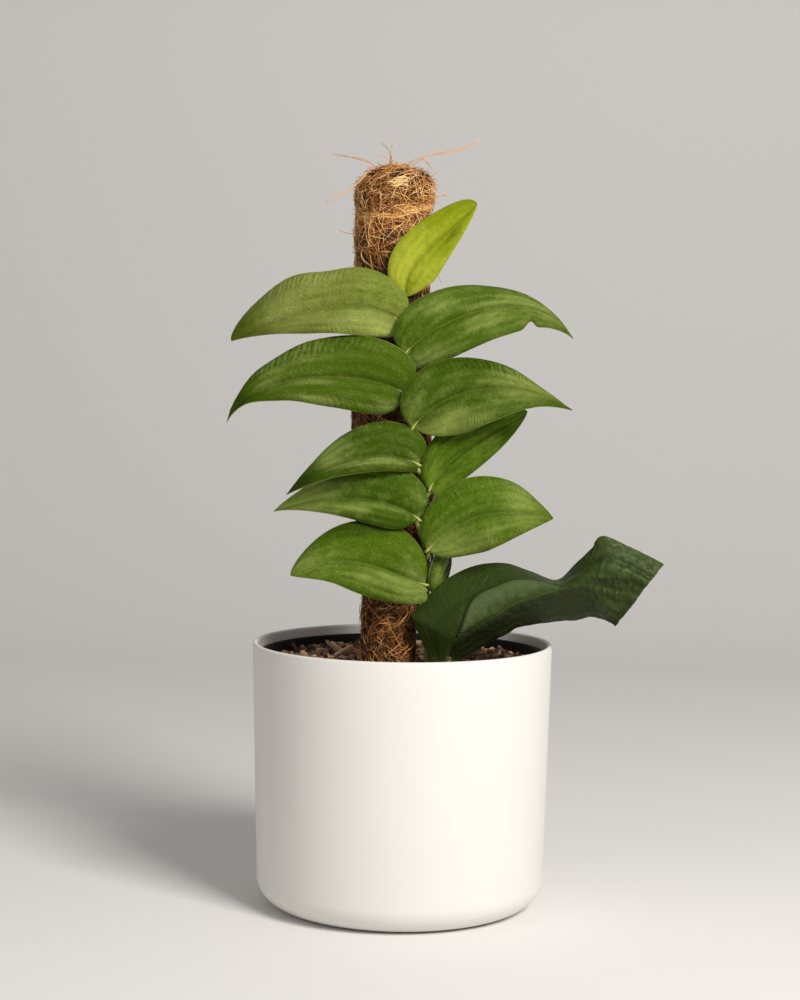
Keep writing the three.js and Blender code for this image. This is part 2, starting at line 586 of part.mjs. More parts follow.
// Soil: a bumpy disc that fills the nursery pot, with bark chips, and holes for what stands in it
const soilRandom = seeded(21);
const soilInner = (z) => nurseryOuter(z) - NURSERY_WALL - GAP - 0.35;
const soilHeight = (x, y) => SOIL_TOP_Z
  + SOIL_EDGE_RISE * (Math.hypot(x, y) / soilInner(SOIL_TOP_Z)) ** 3
  + SOIL_BUMP * (0.5 * Math.sin(x / 9 + 1) * Math.cos(y / 8) + 0.35 * Math.sin(x / 4.3 + y / 5.1)
    + 0.3 * Math.cos(x / 5.7 - y / 3.9 + 2));
const soilRings = 6;
const soilSides = 34;
const soilPoints = [[0, 0, soilHeight(0, 0)]];
for (let i = 1; i <= soilRings; i += 1) {
  for (let k = 0; k < soilSides; k += 1) {
    const r = (soilInner(SOIL_TOP_Z) - 0.8) * (i / soilRings);
    const a = (2 * Math.PI * k) / soilSides;
    const [x, y] = [r * Math.cos(a), r * Math.sin(a)];
    soilPoints.push([x, y, soilHeight(x, y) - (i === soilRings ? 1.2 : 0)]);
  }
}
const soilFloorZ = NURSERY_BOTTOM_Z + 2.8;
for (const z of [soilFloorZ]) {
  for (let k = 0; k < soilSides; k += 1) {
    const a = (2 * Math.PI * k) / soilSides;
    const r = soilInner(z) - 0.6;
    soilPoints.push([r * Math.cos(a), r * Math.sin(a), z]);
  }
}
soilPoints.push([0, 0, soilFloorZ]);
const soilTriangles = [];
for (let k = 0; k < soilSides; k += 1) {
  const n = (k + 1) % soilSides;
  soilTriangles.push([0, 1 + k, 1 + n]);
  for (let i = 0; i < soilRings; i += 1) {
    const a = 1 + i * soilSides;
    soilTriangles.push([a + k, a + soilSides + k, a + soilSides + n], [a + k, a + soilSides + n, a + n]);
  }
  const base = 1 + soilRings * soilSides;
  soilTriangles.push([base + k, soilPoints.length - 1, base + n]);
}
let soil = solidOf(geometryOf(soilPoints, soilTriangles));
const chips = [];
for (let i = 0; i < SOIL_CHIPS; i += 1) {
  const r = 22 + 46 * Math.sqrt(soilRandom());
  const a = 2 * Math.PI * soilRandom();
  const [x, y] = [POLE_X * 0.6 + (r - 3) * Math.cos(a), (r - 3) * Math.sin(a)];
  const long = 5 + 8 * soilRandom();
  const chip = new THREE.BoxGeometry(long, 2.2 + 3 * soilRandom(), 1.4 + 1.6 * soilRandom());
  const tilt = new THREE.Euler(0.7 * (soilRandom() - 0.5), 0.7 * (soilRandom() - 0.5), Math.PI * soilRandom());
  chip.applyMatrix4(new THREE.Matrix4().makeRotationFromEuler(tilt));
  if (Math.hypot(x, y) + long / 2 > soilInner(SOIL_TOP_Z) - 1.5) continue;
  if (Math.hypot(x - OLD_PETIOLE[1][0], y - OLD_PETIOLE[1][1]) < 8 + long / 2) continue;
  chip.translate(x, y, soilHeight(x, y) + 0.3);
  chips.push(solidOf(chip));
}
soil = wasm.Manifold.union([soil, ...chips]);
const holes = [
  solidOf(wrapColumn([WRAP_FOOT_Z - 0.4, 130, 144], 24, GAP + 0.1)),
  solidOf(bar([[POLE_X, POLE_Y, STAKE_FOOT_Z - 0.4], [POLE_X, POLE_Y, STAKE_FOOT_Z + 8], [POLE_X, POLE_Y, 120]],
    [4.4, STAKE_R + 0.45, STAKE_R + 0.45], 14)),
  solidOf(bar([[13.6, -11, 113], [13.55, -10.6, 124], [13.4, -10, 140]], [2.9, 2.9, 2.9], 10)),
  solidOf(bar([[22.3, -19.2, 115], [24, -22, 130], [24.5, -23.2, 138]], [2.6, 2.6, 2.8], 10)),
];
for (const hole of holes) soil = soil.subtract(hole);
soil = soil.decompose().sort((a, b) => b.volume() - a.volume())[0];

const group = new THREE.Group();
function place(name, geometry, color, roughness) {
  const g = geometry;
  g.computeVertexNormals();
  const material = new THREE.MeshStandardMaterial({ color, roughness, metalness: 0 });
  const mesh = new THREE.Mesh(g, material);
  mesh.name = name;
  group.add(mesh);
}
place('pot', potGeometry, RGB.pot, 0.5);
place('nursery_pot', geometryOfSolid(nursery), RGB.nursery, 0.6);
place('soil', geometryOfSolid(soil), RGB.soil, 0.95);
place('pole_stake', stakeGeometry, RGB.stake, 0.8);
place('coir_wrap', geometryOfSolid(wrap), RGB.coir, 0.95);
place('stem', geometryOfSolid(stem), RGB.stem, 0.5);
for (const leaf of LEAVES) {
  if (leaf.name === 'leaf_right_5') {
    leaf.outward = (q) => new THREE.Vector3(q.x - POLE_X, q.y - POLE_Y, 0).normalize();
  }
  place(leaf.name, sheet(bladeGrid(leaf), BLADE_T), leaf.color, 0.42);
}
place('leaf_basal', geometryOfSolid(oldLeaf), RGB.old, 0.35);

export default group;
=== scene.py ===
import bpy
import numpy as np
from mathutils import Matrix


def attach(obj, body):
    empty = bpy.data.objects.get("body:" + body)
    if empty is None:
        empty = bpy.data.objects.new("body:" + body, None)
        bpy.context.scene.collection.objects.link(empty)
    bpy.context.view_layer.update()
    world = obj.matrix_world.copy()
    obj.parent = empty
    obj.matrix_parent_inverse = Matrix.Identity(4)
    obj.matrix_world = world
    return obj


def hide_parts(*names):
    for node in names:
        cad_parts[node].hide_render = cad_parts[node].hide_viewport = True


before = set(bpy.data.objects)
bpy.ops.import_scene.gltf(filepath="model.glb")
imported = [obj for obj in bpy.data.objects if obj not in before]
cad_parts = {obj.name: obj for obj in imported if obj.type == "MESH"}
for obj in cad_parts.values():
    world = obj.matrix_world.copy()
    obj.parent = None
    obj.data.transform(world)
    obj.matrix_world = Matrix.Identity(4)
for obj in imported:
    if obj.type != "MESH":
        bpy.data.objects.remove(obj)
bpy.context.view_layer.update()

MM = 0.001               # shapes are given in millimetres, and Blender counts in metres


# ---- White outer pot ----
# A plain round pot, slightly wider at its rim, moulded in off-white plastic with a satin
# skin, a generously rounded foot and a small half-round rim. It stands on its flat
# underside, and the nursery pot stands loose in it.

POT_RIM_RADIUS, POT_FOOT_RADIUS, POT_FLAT_RADIUS = 80.0, 77.0, 59.0
POT_HEIGHT, POT_ROUNDING, POT_WALL, POT_FLOOR = 141.0, 15.0, 2.5, 3.0
POT_WHITE = (0.762, 0.753, 0.723)


def skin(index):
    """Triangles of a grid of point numbers: each cell gives two, and a triangle that has
    the same point twice, as at a pole, is left out."""
    a, b, c, d = index[:-1, :-1], index[:-1, 1:], index[1:, 1:], index[1:, :-1]
    both = np.stack([np.stack([a, b, c], -1), np.stack([a, c, d], -1)]).reshape(-1, 3)
    whole = (both[:, 0] != both[:, 1]) & (both[:, 1] != both[:, 2]) & (both[:, 0] != both[:, 2])
    return both[whole]


def closed_grid(rows, sides, poles=True):
    """Point numbers of a grid whose rows close on themselves. With poles, the first and the
    last row are one point each."""
    index = np.arange(rows * sides).reshape(rows, sides)
    if poles:
        index[0], index[-1] = index[0, 0], index[-1, 0]
    return np.concatenate([index, index[:, :1]], 1)


def corners(sides):
    """Angles of evenly spaced corners round a circle."""
    return 2 * np.pi * np.arange(sides) / sides


def around(radius, angle, height, x=0):
    """Points round an upright axis at x: (x + radius cos angle, radius sin angle, height)."""
    return np.stack([x + radius * np.cos(angle), radius * np.sin(angle), height + 0 * angle], -1)


def turned(outline, sides):
    """Surface of revolution of an outline of points (radius, height) that starts and ends on
    the Z axis."""
    outline = np.asarray(outline, float)
    points = around(outline[:, :1], corners(sides), outline[:, 1:])
    return points.reshape(-1, 3), skin(closed_grid(len(outline), sides))


def arc(centre, radii, start, end, count):
    """Points of a part of an ellipse: centre + (rx cos a, rz sin a), angles in degrees."""
    a = np.radians(np.linspace(start, end, count))
    return [(centre[0] + radii[0] * np.cos(x), centre[1] + radii[1] * np.sin(x)) for x in a]


def new_piece(name, points, triangles, node, slot, material, smooth=True, **fields):
    """A mesh object from points in millimetres and triangles, which rides on the body, takes
    the material and stands for the node; slot is not used. Each field is a value or vector per point."""
    used, triangles = np.unique(triangles, return_inverse=True)
    points = np.asarray(points, float)[used] * MM
    triangles = triangles.reshape(-1, 3)
    mesh = bpy.data.meshes.new(name)
    mesh.vertices.add(len(points))
    mesh.vertices.foreach_set("co", points.ravel())
    mesh.loops.add(triangles.size)
    mesh.loops.foreach_set("vertex_index", triangles.ravel().astype(np.int32))
    mesh.polygons.add(len(triangles))
    mesh.polygons.foreach_set("loop_start", np.arange(len(triangles), dtype=np.int32) * 3)
    for field, values in fields.items():
        values = np.asarray(values, float)[used]
        kind = "FLOAT_VECTOR" if values.ndim == 2 else "FLOAT"
        data = mesh.attributes.new(field, kind, "POINT").data
        data.foreach_set("vector" if values.ndim == 2 else "value", values.ravel())
    mesh.update(calc_edges=True)
    mesh.polygons.foreach_set("use_smooth", np.full(len(triangles), smooth))
    mesh.materials.append(material)
    piece = bpy.data.objects.new(name, mesh)
    bpy.context.scene.collection.objects.link(piece)
    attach(piece, "root")
    if node:
        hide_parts(node)
    return piece


class Wire:
    """A socket of a material. A sum, difference or product with it adds a Math node."""

    def __init__(self, finish, socket):
        self.finish, self.socket = finish, socket

    def maths(self, operation, *values):
        return self.finish.node("Math", {"operation": operation}, dict(enumerate(values)))

    def __add__(self, other): return self.maths("ADD", self, other)
    def __radd__(self, other): return self.maths("ADD", other, self)
    def __sub__(self, other): return self.maths("SUBTRACT", self, other)
    def __rsub__(self, other): return self.maths("SUBTRACT", other, self)
    def __mul__(self, other): return self.maths("MULTIPLY", self, other)
    def __rmul__(self, other): return self.maths("MULTIPLY", other, self)
    def __abs__(self): return self.maths("ABSOLUTE", self)


class Finish:
    """A procedural material. node() sets a node's settings first, then its sockets."""

    def __init__(self, name, **constants):
        self.material = bpy.data.materials.new(name)
        self.material.use_nodes = True
        self.tree = self.material.node_tree
        self.shader = self.tree.nodes["Principled BSDF"]
        for socket, value in constants.items():
            self.shader.inputs[socket.replace("_", " ")].default_value = value

    def node(self, kind, settings=None, sockets=None, out=0):
        made = self.tree.nodes.new("ShaderNode" + kind)
        for key, value in (settings or {}).items():
            if key == "stops":
                ramp = made.color_ramp.elements
                while len(ramp) < len(value):
                    ramp.new(0.5)
                for element, (place, colour) in zip(ramp, value):
                    element.position, element.color = place, (*colour, 1)
            else:
                setattr(made, key, value)
        for key, value in (sockets or {}).items():
            if isinstance(value, Wire):
                self.tree.links.new(value.socket, made.inputs[key])
            elif isinstance(value, tuple) and len(made.inputs[key].default_value) == 4:
                made.inputs[key].default_value = (*value, 1)
            else:
                made.inputs[key].default_value = value
        return Wire(self, made.outputs[out])

    def place(self):
        return self.node("TexCoord", out="Object")

    def field(self, name, out="Fac"):
        return self.node("Attribute", {"attribute_name": name}, out=out)

    def step(self, value, low, high):
        """0 below low, 1 above high, smooth between."""
        return self.node("MapRange", {"interpolation_type": "SMOOTHSTEP"},
                         {"Value": value, "From Min": low, "From Max": high}, "Result")

    def noise(self, where, scale, detail=3.0, rough=0.55):
        return self.node("TexNoise", None,
                         {"Vector": where, "Scale": scale, "Detail": detail, "Roughness": rough}, "Fac")

    def mix(self, share, first, second):
        return self.node("Mix", {"data_type": "RGBA"}, {0: share, 6: first, 7: second}, 2)

    def layered(self, colour, layers):
        """The colour with the tone of each layer mixed over it by its share, one after another."""
        for share, tone in layers:
            colour = self.mix(share, colour, tone)
        return colour

    def bump(self, height, distance, strength=1.0):
        return self.node("Bump", None, {"Height": height, "Distance": distance, "Strength": strength})

    def done(self, **links):
        for socket, value in links.items():
            self.tree.links.new(value.socket, self.shader.inputs[socket.replace("_", " ")])
        return self.material


rim = POT_WALL / 2
pot_outline = [(0, 0), (40, 0)]
pot_outline += arc((POT_FLAT_RADIUS, POT_ROUNDING),
                   (POT_FOOT_RADIUS - POT_FLAT_RADIUS, POT_ROUNDING), -90, 0, 18)
pot_outline += [(POT_FOOT_RADIUS + k / 10 * (POT_RIM_RADIUS - POT_FOOT_RADIUS),
                 POT_ROUNDING + k / 10 * (POT_HEIGHT - rim - POT_ROUNDING)) for k in range(1, 10)]
pot_outline += arc((POT_RIM_RADIUS - rim, POT_HEIGHT - rim), (rim, rim), 0, 180, 11)
pot_outline += [(POT_FOOT_RADIUS - POT_WALL + k / 8 * (POT_RIM_RADIUS - POT_FOOT_RADIUS),
                 POT_ROUNDING + 2 + k / 8 * (POT_HEIGHT - POT_ROUNDING - 2)) for k in range(7, 0, -1)]
pot_outline += arc((POT_FLAT_RADIUS - POT_WALL, POT_ROUNDING + 2),
                   (POT_FOOT_RADIUS - POT_FLAT_RADIUS, POT_ROUNDING - 1), 0, -90, 9)
pot_outline += [(0, POT_FLOOR)]

white = Finish("pot_white_satin", IOR=1.48)
grain = white.noise(white.place(), 900.0, 2.0)
cloud = white.noise(white.place(), 22.0, 3.0)
white.done(
    Base_Color=white.mix(cloud, (0.74, 0.72, 0.69), POT_WHITE),
    Roughness=0.36 + 0.1 * cloud + 0.04 * grain,
    Normal=white.bump(grain, 0.00004, 0.35),
)
new_piece("pot_shell", *turned(pot_outline, 200), "pot", "pot", white.material)


# ---- Black nursery pot ----
# The thin grower's pot that the plant was raised in, blow-moulded in black plastic. It
# stands inside the white pot, with its turned-out lip a little below the white rim.

NURSERY_TOP, NURSERY_BOTTOM = 136.0, 3.4
NURSERY_TOP_RADIUS, NURSERY_BOTTOM_RADIUS, NURSERY_WALL = 75.4, 57.0, 1.3
LIP_OUT, LIP_HEIGHT = 0.9, 5.0
DRAIN_RING, DRAIN_RADIUS, DRAIN_DEPTH, DRAIN_COUNT = 38.0, 5.0, 12.0, 6


def nursery_radius(z):
    """Outer radius of the tapered wall at a height."""
    share = (z - NURSERY_BOTTOM) / (NURSERY_TOP - NURSERY_BOTTOM)
    return NURSERY_BOTTOM_RADIUS + share * (NURSERY_TOP_RADIUS - NURSERY_BOTTOM_RADIUS)


lip = NURSERY_TOP - LIP_HEIGHT
wall_heights = np.linspace(NURSERY_BOTTOM + 1.5, lip, 14)
nursery_outline = [(0, NURSERY_BOTTOM), (NURSERY_BOTTOM_RADIUS - 1.5, NURSERY_BOTTOM)]
nursery_outline += [(nursery_radius(z), z) for z in wall_heights]
lip_radius, inner_radius = NURSERY_TOP_RADIUS + LIP_OUT, NURSERY_TOP_RADIUS - NURSERY_WALL
nursery_outline += [(nursery_radius(lip) + LIP_OUT, lip + 0.5), (lip_radius, NURSERY_TOP - 0.5)]
nursery_outline += arc((lip_radius - 0.5, NURSERY_TOP - 0.5), (0.5, 0.5), 15, 90, 4)
nursery_outline += arc((inner_radius + 0.4, NURSERY_TOP - 0.4), (0.4, 0.4), 90, 180, 4)
nursery_outline += [(nursery_radius(z) - NURSERY_WALL, z) for z in wall_heights[::-1]]
nursery_outline += [(0, NURSERY_BOTTOM + 1.5)]

black = Finish("nursery_black", IOR=1.48, Specular_IOR_Level=0.2)
squeezed = black.node("Mapping", None, {"Vector": black.place(), "Scale": (1, 1, 9)})
scuffs = black.noise(squeezed, 60.0, 4.0)
dust = black.step(black.noise(black.place(), 130.0, 4.0), 0.52, 0.75)
black.done(
    Base_Color=black.mix(dust * 0.35, (0.006, 0.0055, 0.005), (0.03, 0.022, 0.016)),
    Roughness=0.55 + 0.25 * scuffs,
    Normal=black.bump(scuffs, 0.0002, 0.4),
)
nursery = new_piece("nursery_pot_wall", *turned(nursery_outline, 120), "nursery_pot", "nursery_pot",
                    black.material)

# The drain holes are cut through the floor.
for k in range(DRAIN_COUNT):
    a = 2 * np.pi * (k + 0.5) / DRAIN_COUNT
    bpy.ops.mesh.primitive_cylinder_add(
        vertices=20, radius=DRAIN_RADIUS * MM, depth=DRAIN_DEPTH * MM,
        location=(DRAIN_RING * MM * np.cos(a), DRAIN_RING * MM * np.sin(a), NURSERY_BOTTOM * MM))
    cutter = bpy.context.object
    cut = nursery.modifiers.new("drain", "BOOLEAN")
    cut.operation, cut.object, cut.solver = "DIFFERENCE", cutter, "EXACT"
    bpy.context.view_layer.objects.active = nursery
    bpy.ops.object.modifier_apply(modifier=cut.name)
    bpy.data.objects.remove(cutter)


# ---- Potting soil ----
# Dark, crumbly mix of peat and bark that fills the nursery pot to a little under its rim.
# Bark chips lie half sunk in it.

SOIL_TOP, SOIL_EDGE_RISE, SOIL_BUMP, SOIL_CHIPS = 129.4, 1.6, 1.3, 40
SOIL_EDGE = nursery_radius(SOIL_TOP) - NURSERY_WALL - 0.65
SOIL_FOOT, SOIL_RINGS, SOIL_SIDES = 6.2, 92, 240
CHIP_GRID, CRUMB_GRID = (9, 14), (5, 6)       # rows and sides of one lump
OLD_LEAF_FOOT = (24, -22)
POLE_X = -7.2
MASK = 0xFFFFFFFF


def soil_height(x, y):
    """Gentle bumps: three crossed waves on the soil's level, which rises a little to the wall
    with the third power of the distance from the middle."""
    bumps = (0.5 * np.sin(x / 9 + 1) * np.cos(y / 8) + 0.35 * np.sin(x / 4.3 + y / 5.1)
             + 0.3 * np.cos(x / 5.7 - y / 3.9 + 2))
    return SOIL_TOP + SOIL_EDGE_RISE * (np.hypot(x, y) / SOIL_EDGE) ** 3 + SOIL_BUMP * bumps


def crumble(x, y, size, seed):
    """Rough ground: twelve waves in random directions, finer and lower one after another."""
    draw = np.random.default_rng(seed)
    total = 0
    for k in range(12):
        turn, shift = draw.uniform(0, 2 * np.pi, 2)
        length = size * 0.82 ** k
        walk = x * np.cos(turn) + y * np.sin(turn)
        total = total + np.sin(walk * 2 * np.pi / length + shift) * 0.9 ** k
    return total / 6


ring = np.concatenate([np.linspace(0, 1, SOIL_RINGS) * (SOIL_EDGE - 0.4), [SOIL_EDGE]])[:, None]
angle = corners(SOIL_SIDES)[None, :]
x, y = ring * np.cos(angle), ring * np.sin(angle)
z = soil_height(x, y) + 0.55 * crumble(x, y, 7.0, 5) + 0.3 * crumble(x, y, 2.6, 6)
z[-1] -= 1.5
foot_radius = nursery_radius(SOIL_FOOT) - NURSERY_WALL - 0.6
soil_points = np.concatenate([np.stack([x, y, z], -1), around(foot_radius, angle, SOIL_FOOT),
                              around(0, angle, SOIL_FOOT)])
index = closed_grid(len(soil_points), SOIL_SIDES)[:, ::-1]

peat = Finish("potting_soil", IOR=1.4)
where = peat.place()
fine, coarse = peat.noise(where, 1500.0, 4.0, 0.7), peat.noise(where, 260.0, 5.0, 0.65)
speck = peat.step(peat.noise(where, 620.0, 2.0), 0.62, 0.74)
peat.done(
    Base_Color=peat.mix(speck, peat.mix(coarse, (0.012, 0.008, 0.005), (0.065, 0.036, 0.019)),
                        (0.19, 0.10, 0.05)),
    Roughness=0.8 + 0.18 * fine,
    Normal=peat.bump(fine + 2 * coarse, 0.0007, 0.8),
)
new_piece("soil_bed", soil_points.reshape(-1, 3), skin(index), "soil", "soil", peat.material)


def seeded(seed):
    """The same plain random draws as the solid chips have: 32-bit mixing by shift and product."""
    state = seed
    while True:
        state = (state + 0x6D2B79F5) & MASK
        t = ((state ^ (state >> 15)) * (1 | state)) & MASK
        t = ((t + (((t ^ (t >> 7)) * (61 | t)) & MASK)) & MASK) ^ t
        yield ((t ^ (t >> 14)) & MASK) / 4294967296


def turn_matrices(a, b, c):
    """Rotation about X by a, then Y by b, then Z by c, as the product Rx Ry Rz."""
    zero, one = np.zeros_like(a), np.ones_like(a)
    rx = np.stack([one, zero, zero, zero, np.cos(a), -np.sin(a), zero, np.sin(a), np.cos(a)], -1)
    ry = np.stack([np.cos(b), zero, np.sin(b), zero, one, zero, -np.sin(b), zero, np.cos(b)], -1)
    rz = np.stack([np.cos(c), -np.sin(c), zero, np.sin(c), np.cos(c), zero, zero, zero, one], -1)
    return (rx.reshape(-1, 3, 3) @ ry.reshape(-1, 3, 3)) @ rz.reshape(-1, 3, 3)


def copies(one, count, size):
    """Triangles of count bodies like one, each with its own size points, one after another."""
    return (one[None] + (np.arange(count) * size)[:, None, None]).reshape(-1, 3)


def lumps(centres, sizes, turns, rows, sides, squareness, roughness, seed):
    """Many small closed lumps: a ball whose sine and cosine are raised to a power, which
    squares it off, stretched to its size, made uneven, turned and set in its place."""
    draw = np.random.default_rng(seed)
    up = np.linspace(-np.pi / 2, np.pi / 2, rows)[:, None]
    angle = corners(sides)[None, :]
    power = lambda value: np.sign(value) * np.abs(value) ** squareness
    ball = np.stack([power(np.cos(up)) * power(np.cos(angle)), power(np.cos(up)) * power(np.sin(angle)),
                     power(np.sin(up)) + 0 * angle], -1)
    uneven = 1 + roughness * draw.normal(size=(len(centres), rows, sides, 1))
    uneven[:, 0], uneven[:, -1] = uneven[:, 0, :1], uneven[:, -1, :1]
    local = ball[None] * uneven * np.asarray(sizes)[:, None, None, :]
    points = np.einsum("nij,nrsj->nrsi", turns, local) + np.asarray(centres)[:, None, None, :]
    return points.reshape(-1, 3), copies(skin(closed_grid(rows, sides)), len(centres), rows * sides)


bark = Finish("bark_chips", IOR=1.4)
where = bark.place()
shade, grain = bark.field("shade"), bark.noise(where, 1900.0, 4.0, 0.7)
BARK_STOPS = [(0.0, (0.020, 0.012, 0.008)), (0.35, (0.16, 0.084, 0.045)), (0.7, (0.44, 0.26, 0.145)),
              (1.0, (0.95, 0.68, 0.44))]
bark_tone = bark.node("ValToRGB", {"stops": BARK_STOPS}, {0: shade * 0.75 + 0.35 * grain - 0.05}, "Color")
bark.done(Base_Color=bark_tone, Roughness=0.75 + 0.2 * grain, Normal=bark.bump(grain, 0.0004, 0.8))

# Bark chips, set by the same seeded rule as the solid ones and finished with broken edges.
# Each is its place x and y, its length, width and thickness, and its turns about X, Y and Z.
# Five splinters stand up from the soil behind the pole, on its left.
draws = seeded(21)
chip_rows = []
for k in range(SOIL_CHIPS):
    reach = 19 + 46 * np.sqrt(next(draws))
    a = 2 * np.pi * next(draws)
    cx, cy = POLE_X * 0.6 + reach * np.cos(a), reach * np.sin(a)
    length = 5 + 8 * next(draws)
    chip = [cx, cy, length, 2.2 + 3 * next(draws), 1.4 + 1.6 * next(draws),
            0.7 * (next(draws) - 0.5), 0.7 * (next(draws) - 0.5), np.pi * next(draws)]
    from_foot = np.hypot(cx - OLD_LEAF_FOOT[0], cy - OLD_LEAF_FOOT[1])
    if np.hypot(cx, cy) + length / 2 <= SOIL_EDGE - 1.5 and from_foot >= 8 + length / 2:
        chip_rows.append(chip)
splinters = [[-38, 34, 10, 2.2, 1.6, 0, 0.75, 0.1], [-35, 32, 9, 1.6, 1.4, 0, 0.65, -0.1],
             [-32, 20, 10, 3.2, 2.0, 0.1, -0.45, 0.4], [-27, 30, 10, 1.3, 1.3, 0, 0.55, 0.3],
             [-26, 22, 9, 1.2, 1.2, 0, -0.3, -0.3]]
chips = np.array(chip_rows + splinters)
lifted = np.concatenate([np.full(len(chip_rows), 0.4), np.full(len(splinters), 3.0)])
centres = np.stack([chips[:, 0], chips[:, 1], soil_height(chips[:, 0], chips[:, 1]) + lifted], -1)
turns = turn_matrices(*chips[:, 5:8].T)
points, triangles = lumps(centres, chips[:, 2:5] * 0.56, turns, *CHIP_GRID, 0.35, 0.09, 3)
draw = np.random.default_rng(11)
shades = np.concatenate([draw.uniform(0.2, 1.05, len(chip_rows)), draw.uniform(0.95, 1.1, len(splinters))])
shades = np.repeat(shades, np.prod(CHIP_GRID))
new_piece("bark_chips", points, triangles, None, "soil", bark.material, smooth=False, shade=shades)

# Crumbs between the chips, two in five of them long and thin.
count = 2600
reach, a = SOIL_EDGE * np.sqrt(draw.uniform(0.0, 0.97, count)), draw.uniform(0, 2 * np.pi, count)
cx, cy = reach * np.cos(a), reach * np.sin(a)
free = (np.hypot(cx - POLE_X, cy) > 19.5) & (reach < SOIL_EDGE - 2)
cx, cy = cx[free], cy[free]
count = len(cx)
sizes = draw.uniform(0.35, 1.0, (count, 3)) * draw.choice([1.0, 1.5, 2.4], (count, 1), p=[0.6, 0.3, 0.1])
sizes[:, 0] *= draw.choice([1.0, 2.4], count, p=[0.6, 0.4])
centres = np.stack([cx, cy, soil_height(cx, cy) + 0.35 * draw.uniform(-1, 1.6, count)], -1)
turns = turn_matrices(draw.uniform(-1, 1, count), draw.uniform(-1, 1, count), draw.uniform(0, 6.3, count))
points, triangles = lumps(centres, sizes, turns, *CRUMB_GRID, 0.8, 0.12, 4)
shades = np.repeat(draw.beta(0.5, 0.8, count) + 0.05, np.prod(CRUMB_GRID))
new_piece("soil_crumbs", points, triangles, None, "soil", bark.material, smooth=False, shade=shades)


# ---- Stake inside the pole ----
# A round softwood rod with a blunt point, pushed down through the soil. The coir hides all
# of it, so the solid stays and only gets its wood.

timber = Finish("stake_wood", IOR=1.45)
along_grain = timber.node("Mapping", None, {"Vector": timber.place(), "Scale": (14, 14, 1)})
rings = timber.noise(along_grain, 40.0, 4.0)
timber.done(Base_Color=timber.mix(rings, (0.30, 0.18, 0.09), (0.52, 0.35, 0.19)), Roughness=0.6 + 0.3 * rings)
stake_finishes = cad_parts["pole_stake"].data.materials
stake_finishes.clear()
stake_finishes.append(timber.material)


# ---- Coir pole wrap ----
# A thick mat of coconut fibre, wound round the stake and tied in by a bright strand below its
# crown. It is a lumpy core with thousands of stiff, curved fibres tangled over it, of which a
# few long ones stray from the crown.

# Height, mean radius, and how far the middle stands to the right of the stake's.
WRAP_PROFILE = np.array([
    (112, 15, -0.5), (150, 15, -0.5), (166, 15.8, 0.6), (184, 18.2, 2.2), (194, 19.4, 2.3), (217, 21.2, 1.7),
    (240, 21.3, 1), (262, 21.2, 0), (300, 20.6, 0), (335, 20, 0), (358, 20, -0.2), (367, 19, -0.5),
    (378, 20.7, 0.3), (385, 20.2, 1), (389, 18.4, 1.4), (391.5, 13.5, 1)])
WRAP_FOOT, WRAP_TOP, WRAP_LUMP = 112.4, 393.0, 0.75
CORE_TOP, CORE_ROWS, CORE_SIDES = 391.2, 140, 104
BORE_RADIUS, BORE_TOP = 9.45, 384.4
WAIST, CROWN_RADIUS, FIBRE_SIDES = 372.1, 17.5, 3


def ease(k):
    """Smooth step from 0 to 1: k k (3 - 2 k), with k kept between 0 and 1."""
    k = np.clip(k, 0, 1)
    return k * k * (3 - 2 * k)


def wrap_profile(z):
    """Mean radius of the wrap and shift of its middle: smooth steps between the listed heights."""
    i = np.clip(np.searchsorted(WRAP_PROFILE[:, 0], z, "right") - 1, 0, len(WRAP_PROFILE) - 2)
    low, high = WRAP_PROFILE[i], WRAP_PROFILE[i + 1]
    share = ease((z - low[..., 0]) / (high[..., 0] - low[..., 0]))
    return [low[..., c] + (high[..., c] - low[..., c]) * share for c in (1, 2)]


def round_pole(z, a, lift):
    """Point beside the pole at a height, an angle and a distance out from the wrap, whose
    radius is the profile with three crossed low lumps."""
    swells = 0.45 * np.sin(3 * a + z / 11) + 0.35 * np.sin(5 * a - z / 7 + 1) + 0.2 * np.sin(2 * a + z / 4)
    radius, shift = wrap_profile(z)
    return around(radius + WRAP_LUMP * swells + lift, a, z, POLE_X + shift)


def tubes(paths, radii, sides):
    """Closed thin tubes along many paths at once. At each point a ring of corners lies
    across the path, in the plane of two directions square to it."""
    n, m = paths.shape[:2]
    along = np.gradient(paths, axis=1)
    along /= np.linalg.norm(along, axis=2, keepdims=True) + 1e-9
    whole = paths[:, -1] - paths[:, 0]
    steady = np.cross(whole, np.roll(whole, 1, axis=1) * (1, -1, 0.6) + (0.1, 0.2, 0.3))
    side = np.cross(along, np.cross(steady[:, None], along))
    side = np.cross(along, side)
    side /= np.linalg.norm(side, axis=2, keepdims=True) + 1e-9
    other = np.cross(along, side)
    angle = corners(sides)
    ring = side[:, :, None] * np.cos(angle)[:, None] + other[:, :, None] * np.sin(angle)[:, None]
    points = paths[:, :, None] + ring * radii[:, :, None, None]
    fan = np.arange(1, sides - 1)
    caps = np.concatenate([np.stack([0 * fan, fan + 1, fan], -1),
                           np.stack([0 * fan, fan, fan + 1], -1) + (m - 1) * sides])
    one = np.concatenate([skin(closed_grid(m, sides, poles=False)), caps])
    return points.reshape(-1, 3), copies(one, n, m * sides)


